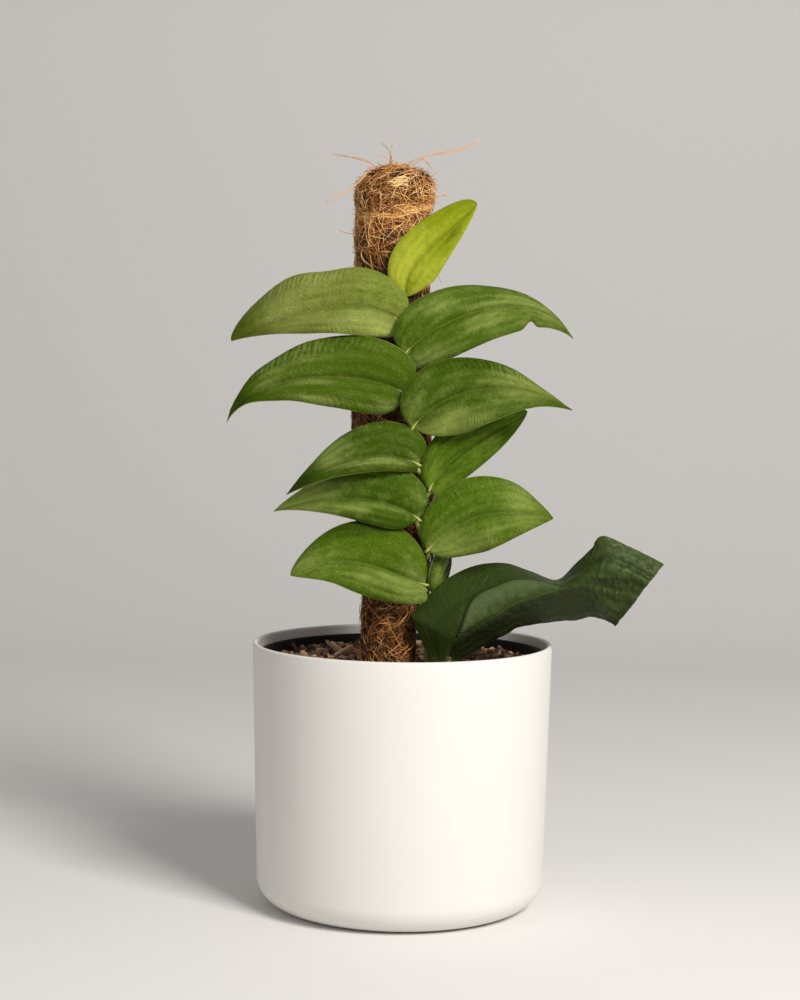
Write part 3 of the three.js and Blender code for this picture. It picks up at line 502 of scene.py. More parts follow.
def wandering(count, steps, length, heading, curl, heights, angles, lift, hump, seed):
    """Paths of fibres that lie on the wrap: each starts at a height and an angle, walks on in
    its heading, which turns steadily by curl, and rises in a hump above the mat midway."""
    draw = np.random.default_rng(seed)
    far = np.linspace(-0.5, 0.5, steps)[None, :] * length[:, None]
    wiggle = 0.25 * np.sin(far / 3.1 + draw.uniform(0, 6.3, count)[:, None])
    turn = heading[:, None] + curl[:, None] * far + wiggle
    step = np.diff(far, axis=1, prepend=far[:, :1])
    z = heights[:, None] + np.cumsum(np.sin(turn) * step, axis=1)
    a = angles[:, None] + np.cumsum(np.cos(turn) * step, axis=1) / 19.0
    lowest = WRAP_FOOT + 0.5 + draw.uniform(0, 1.5, (count, 1))
    z = np.clip(z, lowest, 391.0 - draw.uniform(0, 2.5, (count, 1)))
    rise = np.sin(np.pi * np.linspace(0, 1, steps))[None, :]
    return round_pole(z, a, lift[:, None] + hump[:, None] * rise - 1.7 * ease((z - 380) / 9))


coir = Finish("coir_fibre", IOR=1.5)
where = coir.place()
mottle, streak = coir.noise(where, 90.0, 3.0), coir.noise(where, 1700.0, 3.0)
# From near black to pale straw: the fibres' own browns. The darkest stops serve as painted shade for the
# deeper fibres, and the palest as painted highlights on the lit ones.
COIR_STOPS = [(0.0, (0.016, 0.006, 0.001)), (0.3, (0.14, 0.050, 0.011)), (0.52, (0.56, 0.225, 0.050)),
              (0.75, (0.94, 0.47, 0.135)), (1.0, (1.0, 0.76, 0.36))]
coir_tone = coir.node("ValToRGB", {"stops": COIR_STOPS},
                      {0: coir.field("tone") * 0.85 + 0.22 * mottle + 0.1 * streak - 0.1}, "Color")
coir.done(Base_Color=coir_tone, Roughness=0.36 + 0.3 * streak, Normal=coir.bump(streak, 0.0001, 0.6))

# The core's near-black brown is painted shade for the dark gaps deep among the fibres.
felt = Finish("coir_core", IOR=1.45)
squeezed = felt.node("Mapping", None, {"Vector": felt.place(), "Scale": (1, 1, 2.2)})
mat_grain = felt.noise(squeezed, 420.0, 5.0, 0.7)
felt.done(Base_Color=felt.mix(mat_grain, (0.006, 0.002, 0.001), (0.05, 0.022, 0.008)),
          Roughness=0.8 + 0.15 * mat_grain, Normal=felt.bump(mat_grain, 0.0012, 1.0))

# The core: a lumpy column, closed over its crown and bored for the stake from below.
z = np.linspace(WRAP_FOOT, CORE_TOP, CORE_ROWS)[:, None]
a = corners(CORE_SIDES)[None, :]
outside = round_pole(z, a, -1.8 + 0.4 * crumble(a * 19, z + 0 * a, 6.0, 9))
bore = [(0, BORE_TOP, 0), (BORE_RADIUS, BORE_TOP, 0), (BORE_RADIUS, WRAP_FOOT, 0)]
crown = [(5.0, WRAP_TOP - 1.3, 1), (0, WRAP_TOP - 1.0, 1)]
bore, crown = [np.stack([around(r, a[0], h, POLE_X + aside) for r, h, aside in outline])
               for outline in (bore, crown)]
column = np.concatenate([bore, outside, crown])
new_piece("coir_core", column.reshape(-1, 3), skin(closed_grid(len(column), CORE_SIDES)), "coir_wrap",
          "coir_wrap", felt.material)


def join(parts):
    """Points and triangles of several closed bodies as one set."""
    offset, points, triangles = 0, [], []
    for p, t in parts:
        points.append(p)
        triangles.append(t + offset)
        offset += len(p)
    return np.concatenate(points), np.concatenate(triangles)


def fibre_piece(name, groups, seed):
    """One piece from groups of fibres: paths, radius range, tone range and how much the ends
    taper. A fibre's tone, from dark to straw, is one draw for the whole of its length."""
    draw = np.random.default_rng(seed)
    parts, tones = [], []
    for paths, (thin, thick), (dark, light), taper in groups:
        n, m = paths.shape[:2]
        ends = 1 - taper * np.abs(np.linspace(-1, 1, m))[None, :] ** 3
        parts.append(tubes(paths, draw.uniform(thin, thick, (n, 1)) * ends, FIBRE_SIDES))
        tones.append(np.repeat(dark + (light - dark) * draw.beta(0.8, 0.9, n), m * FIBRE_SIDES))
    new_piece(name, *join(parts), None, "coir_wrap", coir.material, tone=np.concatenate(tones))


def layer(count, seed, length, lift, hump, low=WRAP_FOOT + 3, high=392.0, steps=9, steep=1.0):
    """A layer of lying fibres with random headings; steep below 1 lays them more level."""
    draw = np.random.default_rng(seed)
    heading = draw.uniform(-np.pi / 2, np.pi / 2, count) * steep
    return wandering(count, steps, draw.uniform(*length, count), heading, draw.normal(0, 0.03, count),
                     draw.uniform(low, high, count), draw.uniform(0, 2 * np.pi, count),
                     draw.uniform(*lift, count), draw.uniform(*hump, count), seed + 1)


# The under and mid layers take darker tone ranges than the outer fibres: painted shade for their depth in the
# mat.
fibre_piece("coir_fibres_under", [
    (layer(2500, 31, (22, 44), (-1.6, -0.9), (0.0, 0.5)), (0.17, 0.27), (0.0, 0.36), 0.5)], 41)
fibre_piece("coir_fibres_mid", [
    (layer(2900, 32, (16, 38), (-1.2, -0.5), (0.0, 0.8)), (0.15, 0.25), (0.04, 0.64), 0.5)], 42)

# The outermost fibres: loops all over, finer ones about the crown and short ones at the foot.
draw = np.random.default_rng(50)
loops = layer(1150, 33, (8, 22), (-0.8, -0.1), (0.2, 1.2), 170, steps=7)
crown_loops = layer(950, 35, (6, 17), (-0.7, 0.1), (0.3, 1.7), 346, 388, steps=7)
low_loops = layer(520, 37, (4, 12), (-0.9, 0.1), (0.2, 0.9), 116, 176, 7, 0.7)

# A knot of fibres on the front of the crown, toned bright as a painted highlight, and frayed fibres right of
# the slim foot, toned dark as painted shade under the leaves there.
count = 45
highlight_knot = wandering(count, 7, draw.uniform(4, 9, count), draw.normal(0.15, 0.3, count),
                 draw.normal(0, 0.05, count), draw.normal(383, 1.1, count), draw.normal(-1.65, 0.12, count),
                 draw.uniform(-0.3, 0.5, count), draw.uniform(0.2, 0.8, count), 38)
count = 150
shaded_fray = wandering(count, 7, draw.uniform(5, 12, count), draw.uniform(-1.6, 1.6, count),
                 draw.normal(0, 0.06, count), draw.uniform(177, 194, count), draw.normal(0.12, 0.2, count),
                 draw.uniform(-1.0, 2.6, count), draw.uniform(0.2, 1.4, count), 39)

# The strand that ties the mat in: fibres that run level round the waist on a tilted ring.
count, steps = 100, 15
share = np.linspace(0, 1, steps)[None, :]
start, sweep = draw.uniform(0, 2 * np.pi, (count, 1)), draw.uniform(1.2, 2.8, (count, 1))
a = start + sweep * share
z = (WAIST + 2.65 * np.cos(a) + 5.1 * np.sin(a) + draw.normal(0, 1.1, (count, 1))
     + draw.normal(0, 2.8, (count, 1)) * (share - 0.5) ** 2 * 4)
tie = round_pole(z, a, draw.uniform(-0.8, 0.2, (count, 1)) + 0.5 * np.sin(np.pi * share))

# Short ends that stand off the mat, three in five of them about the crown, and hardly any
# of them on the front below it, where the leaves lie.
count, crown_foot, leaf_top_z = 1500, 338, 345
low_count = count - count * 6 // 10
z0 = np.concatenate([draw.uniform(crown_foot, 393, count - low_count),
                     draw.uniform(114, leaf_top_z, low_count)])
a0 = draw.uniform(0, 2 * np.pi, count)
room = np.where(z0 > crown_foot, 3.2, 1.9)
front = (np.cos(a0 + np.pi / 2) > 0.35) & (z0 < leaf_top_z)
room = np.where(front, 0.7, room) * draw.uniform(0.25, 1.0, count)
share = np.linspace(0, 1, 5)[None, :]
swing, climb = draw.normal(0, 0.16, (count, 1)), draw.normal(0.8, 2.2, (count, 1))
ends = round_pole(np.minimum(z0[:, None] + climb * share, 392.5), a0[:, None] + swing * share,
                  -1.5 + (room[:, None] + 1.5) * share ** 0.8)
fibre_piece("coir_fibres_outer", [
    (loops, (0.13, 0.22), (0.2, 0.95), 0.5),
    (crown_loops, (0.12, 0.22), (0.25, 1.15), 0.5),
    (low_loops, (0.12, 0.21), (0.25, 1.1), 0.5),
    (highlight_knot, (0.16, 0.24), (0.95, 1.25), 0.5),
    (shaded_fray, (0.12, 0.22), (0.0, 0.5), 0.5),
    (tie, (0.15, 0.25), (0.6, 1.25), 0.3),
    (ends, (0.08, 0.15), (0.4, 0.9), 0.75)], 43)

# Fibres that cross over the crown in all directions, each at an angle and some way aside of
# the crown's middle, and kept inside its radius.
count, steps = 420, 9
share = np.linspace(-1, 1, steps)[None, :]
heading, aside = draw.uniform(0, np.pi, (count, 1)), draw.uniform(-13, 13, (count, 1))
half = draw.uniform(5, 15, (count, 1))
shift = draw.uniform(-5, 5, (count, 1))
along, across = half * share + shift, aside + 2.5 * draw.normal(0, 1, (count, 1)) * share ** 2
far = np.hypot(along, across)
squeeze = np.minimum(1, CROWN_RADIUS / np.maximum(far, 1e-6))
along, across, far = along * squeeze, across * squeeze, far * squeeze / CROWN_RADIUS
over = 391.4 + 1.2 * np.cos(np.pi / 2 * far) - 4.5 * far ** 2 + draw.uniform(-0.6, 1.6, (count, 1))
over = over + 1.2 * crumble(along + 40 * heading, across, 9.0, 58)
over = over + draw.normal(0, 1.6, (count, 1)) * share ** 2
crossing = np.stack([POLE_X + 1 + along * np.cos(heading) - across * np.sin(heading),
                     along * np.sin(heading) + across * np.cos(heading), over], -1)

# Long strays, each a bundle of fibres along a smooth line: its points, how many fibres, tone.
STRAYS = [
    ([(-15, -7, 388), (-20.5, -10, 389.5), (-23, -12, 386.5), (-27, -12, 382.5), (-33.5, -13, 377.5),
      (-43, -14, 372.5)], 3, 0.9),
    ([(-12.5, -4, 389), (-20.4, -8, 395), (-29.3, -9, 397), (-39.8, -10, 399)], 2, 0.55),
    ([(-5.5, -5, 389), (-11.5, -8, 396.8), (-16.5, -9, 398.2)], 1, 0.6),
    ([(-8, -4, 390), (-8.5, -5, 398.5), (-8.3, -5, 407)], 2, 0.6),
    ([(-8.5, -5, 390), (-9.5, -6, 400), (-14.7, -7, 405.5)], 1, 0.4),
    ([(-3, -5, 389), (0.7, -7, 394.8), (7.3, -8, 397.6), (18.4, -9, 400), (28.3, -9, 402),
      (37.1, -10, 406.8)], 3, 0.7),
    ([(-1, -4, 390), (6.2, -7, 396.2), (9.6, -8, 395.5), (13.2, -8.5, 391.5)], 2, 0.6),
    ([(6, -6, 383), (14, -8, 389), (16.3, -8, 391.8)], 2, 0.6),
    ([(7, -8, 370), (14.2, -10, 376.3), (18.6, -10, 377.6), (20.9, -10, 377.5)], 2, 0.7),
    ([(-22, -6, 356), (-27.7, -8, 357), (-36.6, -9, 359.4)], 1, 0.5),
    ([(6, -8, 337), (12.5, -12, 338), (15.3, -12.5, 336.6), (17.9, -13, 332.2)], 2, 0.75),
    ([(-22, -8, 352), (-28, -10, 356)], 1, 0.4),
    ([(-22, -6, 366), (-29, -9, 368)], 1, 0.5),
    ([(1, -10, 163), (2.5, -16.5, 158), (-1.4, -17, 153.4), (-5.3, -15.5, 149.8)], 2, 0.75),
]


def smooth_line(points, count):
    """A smooth line through the points: cubic pieces whose slope at each point is half the
    step from the one before it to the one after."""
    points = np.asarray(points, float)
    slope = np.gradient(points, axis=0)
    t = np.linspace(0, len(points) - 1, count)
    i = np.minimum(t.astype(int), len(points) - 2)
    k = (t - i)[:, None]
    return ((1 + 2 * k) * (1 - k) ** 2 * points[i] + k * (1 - k) ** 2 * slope[i]
            + k * k * (3 - 2 * k) * points[i + 1] + k * k * (k - 1) * slope[i + 1])


stray_groups = [(crossing, (0.13, 0.24), (0.35, 0.95), 0.5)]
for points, strands, tone in STRAYS:
    line = smooth_line(points, 16)
    share = np.linspace(0, 1, 16)[:, None]
    bundle = np.stack([
        line + draw.normal(0, 0.35, 3) * (1 - share) + draw.normal(0, 0.3, 3) * share * (k > 0)
        + 0.3 * np.sin(share * 9 + draw.uniform(0, 6, 3)) for k in range(strands)])
    stray_groups.append((bundle, (0.14, 0.22), (tone, tone + 0.1), 0.7))
fibre_piece("coir_fibres_stray", stray_groups, 44)


# ---- Climbing stem ----
# The green stem climbs the front of the pole from the soil to the young leaf, swollen at
# each joint. Short stalks lead to the leaves, and brown roots from the joints grip the coir.

STEM_RADIUS, STALK_RADIUS, GAP = 2.0, 1.25, 0.3
STEM_STEPS, STEM_SIDES, STALK_STEPS, STALK_SIDES = 260, 20, 18, 12
STEM_PATH = [(330, -1.4), (318, -2.6), (300, -1.6), (285, -0.2), (265, 2.4), (245, 6.0), (226, 9.6),
             (206, 8.4), (193, 11.4), (176, 11.6), (160, 12.6), (140, 13.4), (114, 13.6)]

# Leaves from the tip of the stem down. rib: four points that steer the midrib. side: 1 to the
# right, -1 to the left. lean: tilt back from upright at foot and tip, in degrees. wide: half
# width above and below the midrib. peak: where each is widest. lobe: reach back past the
# foot. drip: drawn-out tip. wave: size and count of the edge waves. dents: hollows of the edge,
# each as upper (1) or lower (-1) half, place, spread and depth.
LEAVES = [
    dict(name="leaf_top", side=1, slot="leaf_young",
         rib=[(-1.5, -27.5, 324), (-0.6, -30, 340.4), (4.8, -25, 343.4), (36, -22, 373)],
         lean=(-4, 14), wide=(14, 13.2), peak=(0.58, 0.43), lobe=(0, 0.01), drip=0, wave=(0.4, 2)),
    dict(name="leaf_left_1", side=-1, slot="leaf_fresh",
         rib=[(-4, -29, 311.5), (-22, -41, 325.5), (-58.5, -27, 316.5), (-91.5, -6, 301)],
         lean=(-5, 34), wide=(23.5, 14.5), peak=(0.52, 0.33), lobe=(0.05, 0.12), drip=0.01, wave=(0.8, 3),
         dents=[(1, 0.47, 0.13, 0.13)]),
    dict(name="leaf_right_1", side=1, slot="leaf_mature",
         rib=[(-0.5, -30.3, 294.5), (14.5, -36.5, 313.5), (66, -30, 335), (87.5, -12, 304.5)],
         lean=(-9, 30), wide=(18, 17.5), peak=(0.25, 0.36), lobe=(0.01, 0.11), drip=0.01, wave=(0.8, 3),
         dents=[(-1, 0.735, 0.03, 0.36)]),
    dict(name="leaf_left_2", side=-1, slot="leaf_mature",
         rib=[(-0.5, -30.3, 274), (-18, -35.4, 286.5), (-78, -37, 286.5), (-91.5, -30, 260.5)],
         lean=(-12, 32), wide=(22.4, 17), peak=(0.31, 0.28), lobe=(0.04, 0.09), drip=0.03, wave=(1.2, 4)),
    dict(name="leaf_right_2", side=1, slot="leaf_mature",
         rib=[(4, -31.3, 256.5), (17.5, -38.6, 276.5), (50.5, -39, 285), (80, -37, 270)],
         lean=(-12, 30), wide=(20, 19.5), peak=(0.31, 0.38), lobe=(0, 0.04), drip=0.07, wave=(0.9, 3)),
    dict(name="leaf_left_3", side=-1, slot="leaf_mature",
         rib=[(7, -28.8, 237.5), (-8.5, -36.2, 246.5), (-38, -34, 241.5), (-61, -28, 221.5)],
         lean=(-8, 38), wide=(18, 8), peak=(0.31, 0.41), lobe=(0.04, 0.1), drip=0.01, wave=(0.6, 2)),
    dict(name="leaf_right_3", side=1, slot="leaf_mature",
         rib=[(13.2, -25.4, 224.5), (25, -27.5, 246), (43.5, -17, 251.5), (65, -3, 265)],
         lean=(-4, 8), wide=(16.4, 12), peak=(0.48, 0.4), lobe=(0.01, 0.1), drip=0, wave=(0.4, 2)),
    dict(name="leaf_left_4", side=-1, slot="leaf_mature",
         rib=[(7.5, -28, 209), (-6.5, -31.5, 221), (-37.5, -24, 222.5), (-68.5, -8, 211)],
         lean=(-5, 28), wide=(20.5, 12.5), peak=(0.36, 0.32), lobe=(0.02, 0.02), drip=0.01, wave=(0.5, 2)),
    dict(name="leaf_right_4", side=1, slot="leaf_mature",
         rib=[(12.5, -24.7, 192.5), (34, -33, 217.3), (55, -35, 214.3), (76.3, -31, 210.5)],
         lean=(-8, 28), wide=(21, 18.4), peak=(0.4, 0.38), lobe=(0, 0.035), drip=0.02, wave=(0.7, 3)),
    dict(name="leaf_left_5", side=-1, slot="leaf_mature",
         rib=[(11.5, -25.5, 174.5), (-11.9, -28, 180.9), (-24.9, -33, 194.5), (-57.5, -35, 180)],
         lean=(-1, 34), wide=(24.4, 16.1), peak=(0.44, 0.43), lobe=(0.018, 0.114), drip=0.01, wave=(0.6, 3)),
    dict(name="leaf_right_5", side=1, slot="leaf_mature",
         rib=[(15.3, -14, 168.7), (22, -12.5, 180), (27, -3, 190), (24.5, 12, 192)],
         lean=(3, 3), wide=(16.5, 8.5), peak=(0.6, 0.3), lobe=(0, 0.06), drip=0, wave=(0.3, 2)),
]


def display(red, green, blue):
    """Linear light of a colour given in display values from 0 to 255."""
    value = np.array([red, green, blue]) / 255
    return tuple(np.where(value <= 0.04045, value / 12.92, ((value + 0.055) / 1.055) ** 2.4))


def unit(vectors):
    """Each vector divided by its length."""
    return vectors / (np.linalg.norm(vectors, axis=-1, keepdims=True) + 1e-12)


def bell(x):
    """A smooth bump that is 1 at 0 and falls off to both sides: exp(-x^2)."""
    return np.exp(-x ** 2)


green = Finish("stem_green", IOR=1.45)
where = green.place()
fine, broad = green.noise(where, 900.0, 3.0), green.noise(where, 110.0, 3.0)
stem_tone = green.layered((0.42, 0.47, 0.12), [
    (green.step(green.field("age"), 0.1, 0.9), (0.16, 0.22, 0.05)),
    (green.step(broad, 0.5, 0.75) * 0.6, (0.20, 0.15, 0.06)),
    (green.field("pale"), display(160, 172, 80))])
green.done(Base_Color=stem_tone, Roughness=0.38 + 0.3 * fine, Normal=green.bump(fine, 0.0002, 0.5))

# The stem lies against the front of the mat. It swells below each joint, with a thin pale ring.
heights, places = np.array(STEM_PATH, float).T
radius, shift = wrap_profile(heights)
reach = radius + WRAP_LUMP + GAP + STEM_RADIUS + 0.2
depth = np.minimum(-9, -np.sqrt(np.maximum(0, reach ** 2 - (places - POLE_X - shift) ** 2)))
depth[-2:] = -10, -11
stem_line = smooth_line(np.stack([places, depth, heights], -1), STEM_STEPS)
feet = np.array([leaf["rib"][0] for leaf in LEAVES])
swell = sum(bell((stem_line[:, 2] - (z - 5)) / 2.2) for z in feet[:, 2])
joint_rings = sum(bell((stem_line[:, 2] - (z - 7.5)) / 0.45) for z in feet[:, 2])
tip = np.minimum(1, 0.6 + np.arange(STEM_STEPS) / 40)
stem_radius = STEM_RADIUS * tip * (0.93 + 0.14 * swell + 0.07 * joint_rings)
parts = [tubes(stem_line[None], stem_radius[None], STEM_SIDES)]
ages = [np.repeat(ease((330 - stem_line[:, 2]) / 150), STEM_SIDES)]
pales = [np.repeat(0.45 * np.minimum(1, joint_rings), STEM_SIDES)]

# Each leaf has a short stalk from the stem, and all but the first and the last have a pale nub
# where the blade begins.
along = np.linspace(0, 1, STALK_STEPS)
for leaf in LEAVES:
    foot = np.array(leaf["rib"][0], float)
    near = stem_line[np.argmin(np.abs(stem_line[:, 2] - (foot[2] - 5)))]
    inner = (leaf["side"], 1.9) if foot[1] < -20 else (-1.6, 1)
    end = foot + (inner[0], inner[1], -0.8)
    mid = np.array([(near[0] + end[0]) / 2, near[1] * 0.4 + end[1] * 0.6 - 0.4, (near[2] + end[2]) / 2 - 0.8])
    stalk = smooth_line([near, mid, end], STALK_STEPS)
    thick = STALK_RADIUS * np.interp(along, [0, 0.5, 1], [1.25, 1.0, 0.8])
    parts.append(tubes(stalk[None], thick[None], STALK_SIDES))
    ages.append(np.full(STALK_STEPS * STALK_SIDES, ease((330 - foot[2]) / 200) * 0.7))
    pales.append(np.repeat(0.35 + 0.6 * ease(1.6 * along - 0.4), STALK_SIDES))
    if leaf["name"] in ("leaf_top", "leaf_right_5"):
        continue
    rib_points = np.array(leaf["rib"], float)
    ahead = unit(rib_points[1] - rib_points[0])
    nub = np.array([foot + ahead * far + (0, -0.75 - rise, 0)
                    for far, rise in [(-1.6, -1.2), (-0.6, -0.2), (0.8, -0.1), (2.2, -0.2), (4.0, -0.5)]])
    thick = np.interp(along, [0, 0.3, 1], [0.7, 0.75, 0.12])
    parts.append(tubes(smooth_line(nub, STALK_STEPS)[None], thick[None], STALK_SIDES))
    ages.append(np.full(STALK_STEPS * STALK_SIDES, 0.1))
    pales.append(np.repeat(1.0 - 0.55 * along, STALK_SIDES))
new_piece("stem_and_stalks", *join(parts), "stem", "stem", green.material,
          age=np.concatenate(ages), pale=np.concatenate(pales))

# Roots from the joints, each a short bent fibre that ends in the mat.
root = Finish("root_brown", IOR=1.45)
root_noise = root.noise(root.place(), 1200.0, 3.0)
root.done(Base_Color=root.mix(root_noise, (0.10, 0.055, 0.025), (0.30, 0.20, 0.10)),
          Roughness=0.7 + 0.2 * root_noise, Normal=root.bump(root_noise, 0.0002, 0.8))
paths = []
for z in feet[:, 2]:
    near = stem_line[np.argmin(np.abs(stem_line[:, 2] - (z - 7)))]
    for k in range(5):
        a = np.arctan2(near[1], near[0] - POLE_X)
        turn = draw.uniform(0.16, 0.42) * draw.choice([-1, 1])
        rise = draw.uniform(-7, 3)
        last = round_pole(np.array(near[2] + rise), np.array(a + turn), -0.4)
        middle = round_pole(np.array(near[2] + rise * 0.4), np.array(a + turn * 0.6), 0.7)
        inside = near + (0, 0.8, 0)
        paths.append(smooth_line([inside, middle, last], 8))
paths = np.stack(paths)
radii = draw.uniform(0.28, 0.5, (len(paths), 1)) * np.linspace(1, 0.5, 8)[None, :]
new_piece("stem_roots", *tubes(paths, radii, 6), None, "stem", root.material)


# ---- Leaf blades ----
# Eleven thin, leathery leaves that shingle up both sides of the stem on short stalks. Each
# has a sunken midrib, arching side veins that run with it, puckered bands between them, a
# waved edge with a fine pale rim, and a satin face with a paler underside.

# The power a of the outline, rise and drop of the bulge as shares of the half width, where the
# lobe lies along the blade, and the usual length of a blade.
EDGE_POWER, BLADE_RISE, BLADE_DROP, LOBE_AT, BLADE_LENGTH = 0.55, 0.12, 0.06, 0.1, 88.0


def blade(leaf, s, v):
    """Middle surface of a leaf. s runs from foot to tip, v from the lower edge (-1) to the
    upper edge (1). Half width = wide N s^a (1 - s)^b, with N making its largest value 1 at
    the peak. The lobe carries the edge back past the foot; the midrib is a cubic curve. The
    blade leans back from upright, bulges between midrib and edge, and waves at its edge."""
    u, upper = np.abs(v), v >= 0
    pick = lambda pair: np.where(upper, pair[0], pair[1])
    peak = pick(leaf["peak"])
    b = EDGE_POWER * (1 - peak) / peak
    width = pick(leaf["wide"]) * s ** EDGE_POWER * (1 - s) ** b / (peak ** EDGE_POWER * (1 - peak) ** b)
    for half, place, spread, depth in leaf.get("dents", ()):
        width = width * (1 - depth * bell((s - place) / spread) * (np.sign(v) == half))
    back = pick(leaf["lobe"]) * s * np.exp(1 - s / LOBE_AT) * u ** 1.2 / LOBE_AT
    t = s - back + leaf["drip"] * np.maximum(0, (s - 0.86) / 0.14) ** 2
    k = np.clip(t, 0, 1)[..., None]
    p0, p1, p2, p3 = np.array(leaf["rib"], float)
    along = 3 * (1 - k) ** 2 * (p1 - p0) + 6 * (1 - k) * k * (p2 - p1) + 3 * k * k * (p3 - p2)
    point = (1 - k) ** 3 * p0 + 3 * (1 - k) ** 2 * k * p1 + 3 * (1 - k) * k * k * p2 + k ** 3 * p3
    point = point + along * (t[..., None] - k)
    along = unit(along)
    face = np.broadcast_to([0.0, -1.0, 0.0], along.shape)
    if leaf["name"] == "leaf_right_5":
        face = unit((point - (POLE_X, 0, 0)) * (1, 1, 0))
    face = unit(face - along * np.sum(face * along, -1, keepdims=True))
    across = np.cross(face, along) * leaf["side"]
    lean = np.radians(leaf["lean"][0] + (leaf["lean"][1] - leaf["lean"][0]) * k)
    up, out = across * np.cos(lean) - face * np.sin(lean), face * np.cos(lean) + across * np.sin(lean)
    bulge = width * (BLADE_RISE * np.sin(np.pi * u) - BLADE_DROP * u * u)
    wave = leaf["wave"][0] * np.sin(2 * np.pi * leaf["wave"][1] * s + v) * u ** 3 * np.sin(np.pi * s)
    return point + up * (v * width)[..., None] + out * (bulge + wave)[..., None], out, width


def sheet(front, back, closed_ends):
    """Triangles of a thin sheet with a front grid, a back grid and walls round its edge. With
    closed ends the first and the last row are one point each."""
    n, m = front.shape[:2]
    f = np.arange(n * m).reshape(n, m)
    b = f + n * m
    if closed_ends:
        f[0], b[0], f[-1], b[-1] = 0, 0, f[-1, 0], f[-1, 0]
    triangles = [skin(f), skin(b[:, ::-1]), skin(np.stack([b[:, 0], f[:, 0]], 1)),
                 skin(np.stack([f[:, -1], b[:, -1]], 1)), skin(np.stack([b[0], f[0]])),
                 skin(np.stack([f[-1], b[-1]]))]
    return np.concatenate([front.reshape(-1, 3), back.reshape(-1, 3)]), np.concatenate(triangles)


def veined(s, v, width, seed, ridged, pucker, base, zones):
    """Relief of the face in mm, and three fields for its colour. The relief has grooves along
    the midrib and at a third and two thirds of the half width, swollen bands between them,
    broad dents, and puckers across the outer bands: pillows |sin|^0.8 with sharp valleys
    between them. The first field is painted light: a base value with dents, streaks, the bands
    and the pillows, plus broad soft zones, each strength * exp(-(ds / length)^2 - (dv / breadth)^2),
    painted highlight where it is high and painted shade where it is low. The second is painted
    shade in the grooves and in the valleys between the puckers, and the third, outer, is where
    the puckers are."""
    u, run = np.abs(v), s * BLADE_LENGTH
    fade = np.sin(np.pi * np.clip(s, 0, 1)) ** 0.6
    groove = lambda at, spread: bell((u - at) * width / spread)
    phase = np.random.default_rng(seed).uniform(0, 6.3, 6)
    swing = 0.03 * np.sin(5 * s + phase[0]) + 0.015 * np.sin(11 * s + phase[1])
    first, second = 0.34 + swing * np.sign(v), 0.66 + swing * np.sign(v)
    place = np.where(u < first, u / first, np.where(u < second, (u - first) / (second - first),
                                                    (u - second) / (1 - second)))
    bands = np.sin(np.pi * np.clip(place, 0, 1)) ** 0.8
    across = run + 4.0 * u + 1.6 * np.sin(7 * s + phase[2]) + 1.0 * np.sin(19 * s + 3 * u + phase[3])
    pillows = (np.abs(np.sin(np.pi * across / 3.3)) ** 0.8
               + 0.6 * np.abs(np.sin(np.pi * across / 5.6 + 2 * u)) ** 0.8)
    outer = ease((u - 0.5) / 0.25) * (0.65 + 0.35 * np.sin(8.5 * s + 2.5 * v + phase[5]))
    outer = outer * np.where(v >= 0, 1.0, 0.4)
    outer = outer * fade * ease((s - 0.15) / 0.2) * (1 - 0.5 * ease((u - 0.92) / 0.08))
    dents = crumble(run, v * 20, 17.0, seed)
    relief = 0.8 * bands * np.minimum(1, width / 12) - 0.2 * groove(first, 0.8) - 0.12 * groove(second, 0.7)
    relief = relief * fade * ridged - 0.9 * groove(0, 1.1) * np.minimum(1, 5 * s) * (1 - 0.5 * s)
    relief = relief + pucker * 0.42 * (pillows - 0.9) * outer + 0.3 * dents * fade
    streaks = crumble(run * 0.22, v * width, 5.5, seed + 2)
    sheen = base + 0.12 * dents + 0.26 * streaks + 0.15 * (bands - 0.6) * fade * ridged
    sheen = sheen + pucker * 0.2 * (pillows - 0.9) * outer
    for at, aside, length, breadth, strength in zones:
        sheen = sheen + strength * np.exp(-((s - at) / length) ** 2 - ((v - aside) / breadth) ** 2)
    broken = 0.5 + 0.5 * crumble(run, v * 20, 9.0, seed + 1)
    crease = (0.26 * groove(first, 0.5) + 0.16 * groove(second, 0.45)) * np.clip(broken, 0, 1) * ridged
    crease = (crease + 0.8 * groove(0, 0.5)) * fade + pucker * 0.5 * outer * ease((0.9 - pillows) / 0.9)
    return relief, np.clip(sheen, -0.6, 1.7), np.clip(crease, 0, 1), np.clip(pucker * outer, 0, 1)


def scaled(colour, factor):
    """A colour with each of its values multiplied by the factor."""
    return tuple(factor * value for value in colour)


def leaf_grounds(finish, scales, fine_detail, cells, wall):
    """What the leaf materials start from: the place in space and on the leaf (share of the
    length, share of the half width, distance from the edge), noise as cloud, fine grain and
    mottle, and a net that is 1 on the walls of small cells and 0 inside them."""
    where = finish.place()
    s, v, edge = [finish.node("SeparateXYZ", None, {"Vector": finish.field("sv", "Vector")}, out)
                  for out in (0, 1, 2)]
    cloud, fine = finish.noise(where, scales[0], 4.0), finish.noise(where, scales[1], fine_detail)
    mottle = finish.noise(where, scales[2], 4.0, 0.65)
    grid = finish.node("CombineXYZ", None, {"X": s * cells[0], "Y": v * cells[1], "Z": 0.0}, "Vector")
    to_wall = finish.node("TexVoronoi", {"feature": "DISTANCE_TO_EDGE"}, {"Vector": grid, "Scale": 1.5},
                          "Distance")
    return where, s, v, edge, cloud, fine, mottle, 1 - finish.step(to_wall, 0.0, wall)


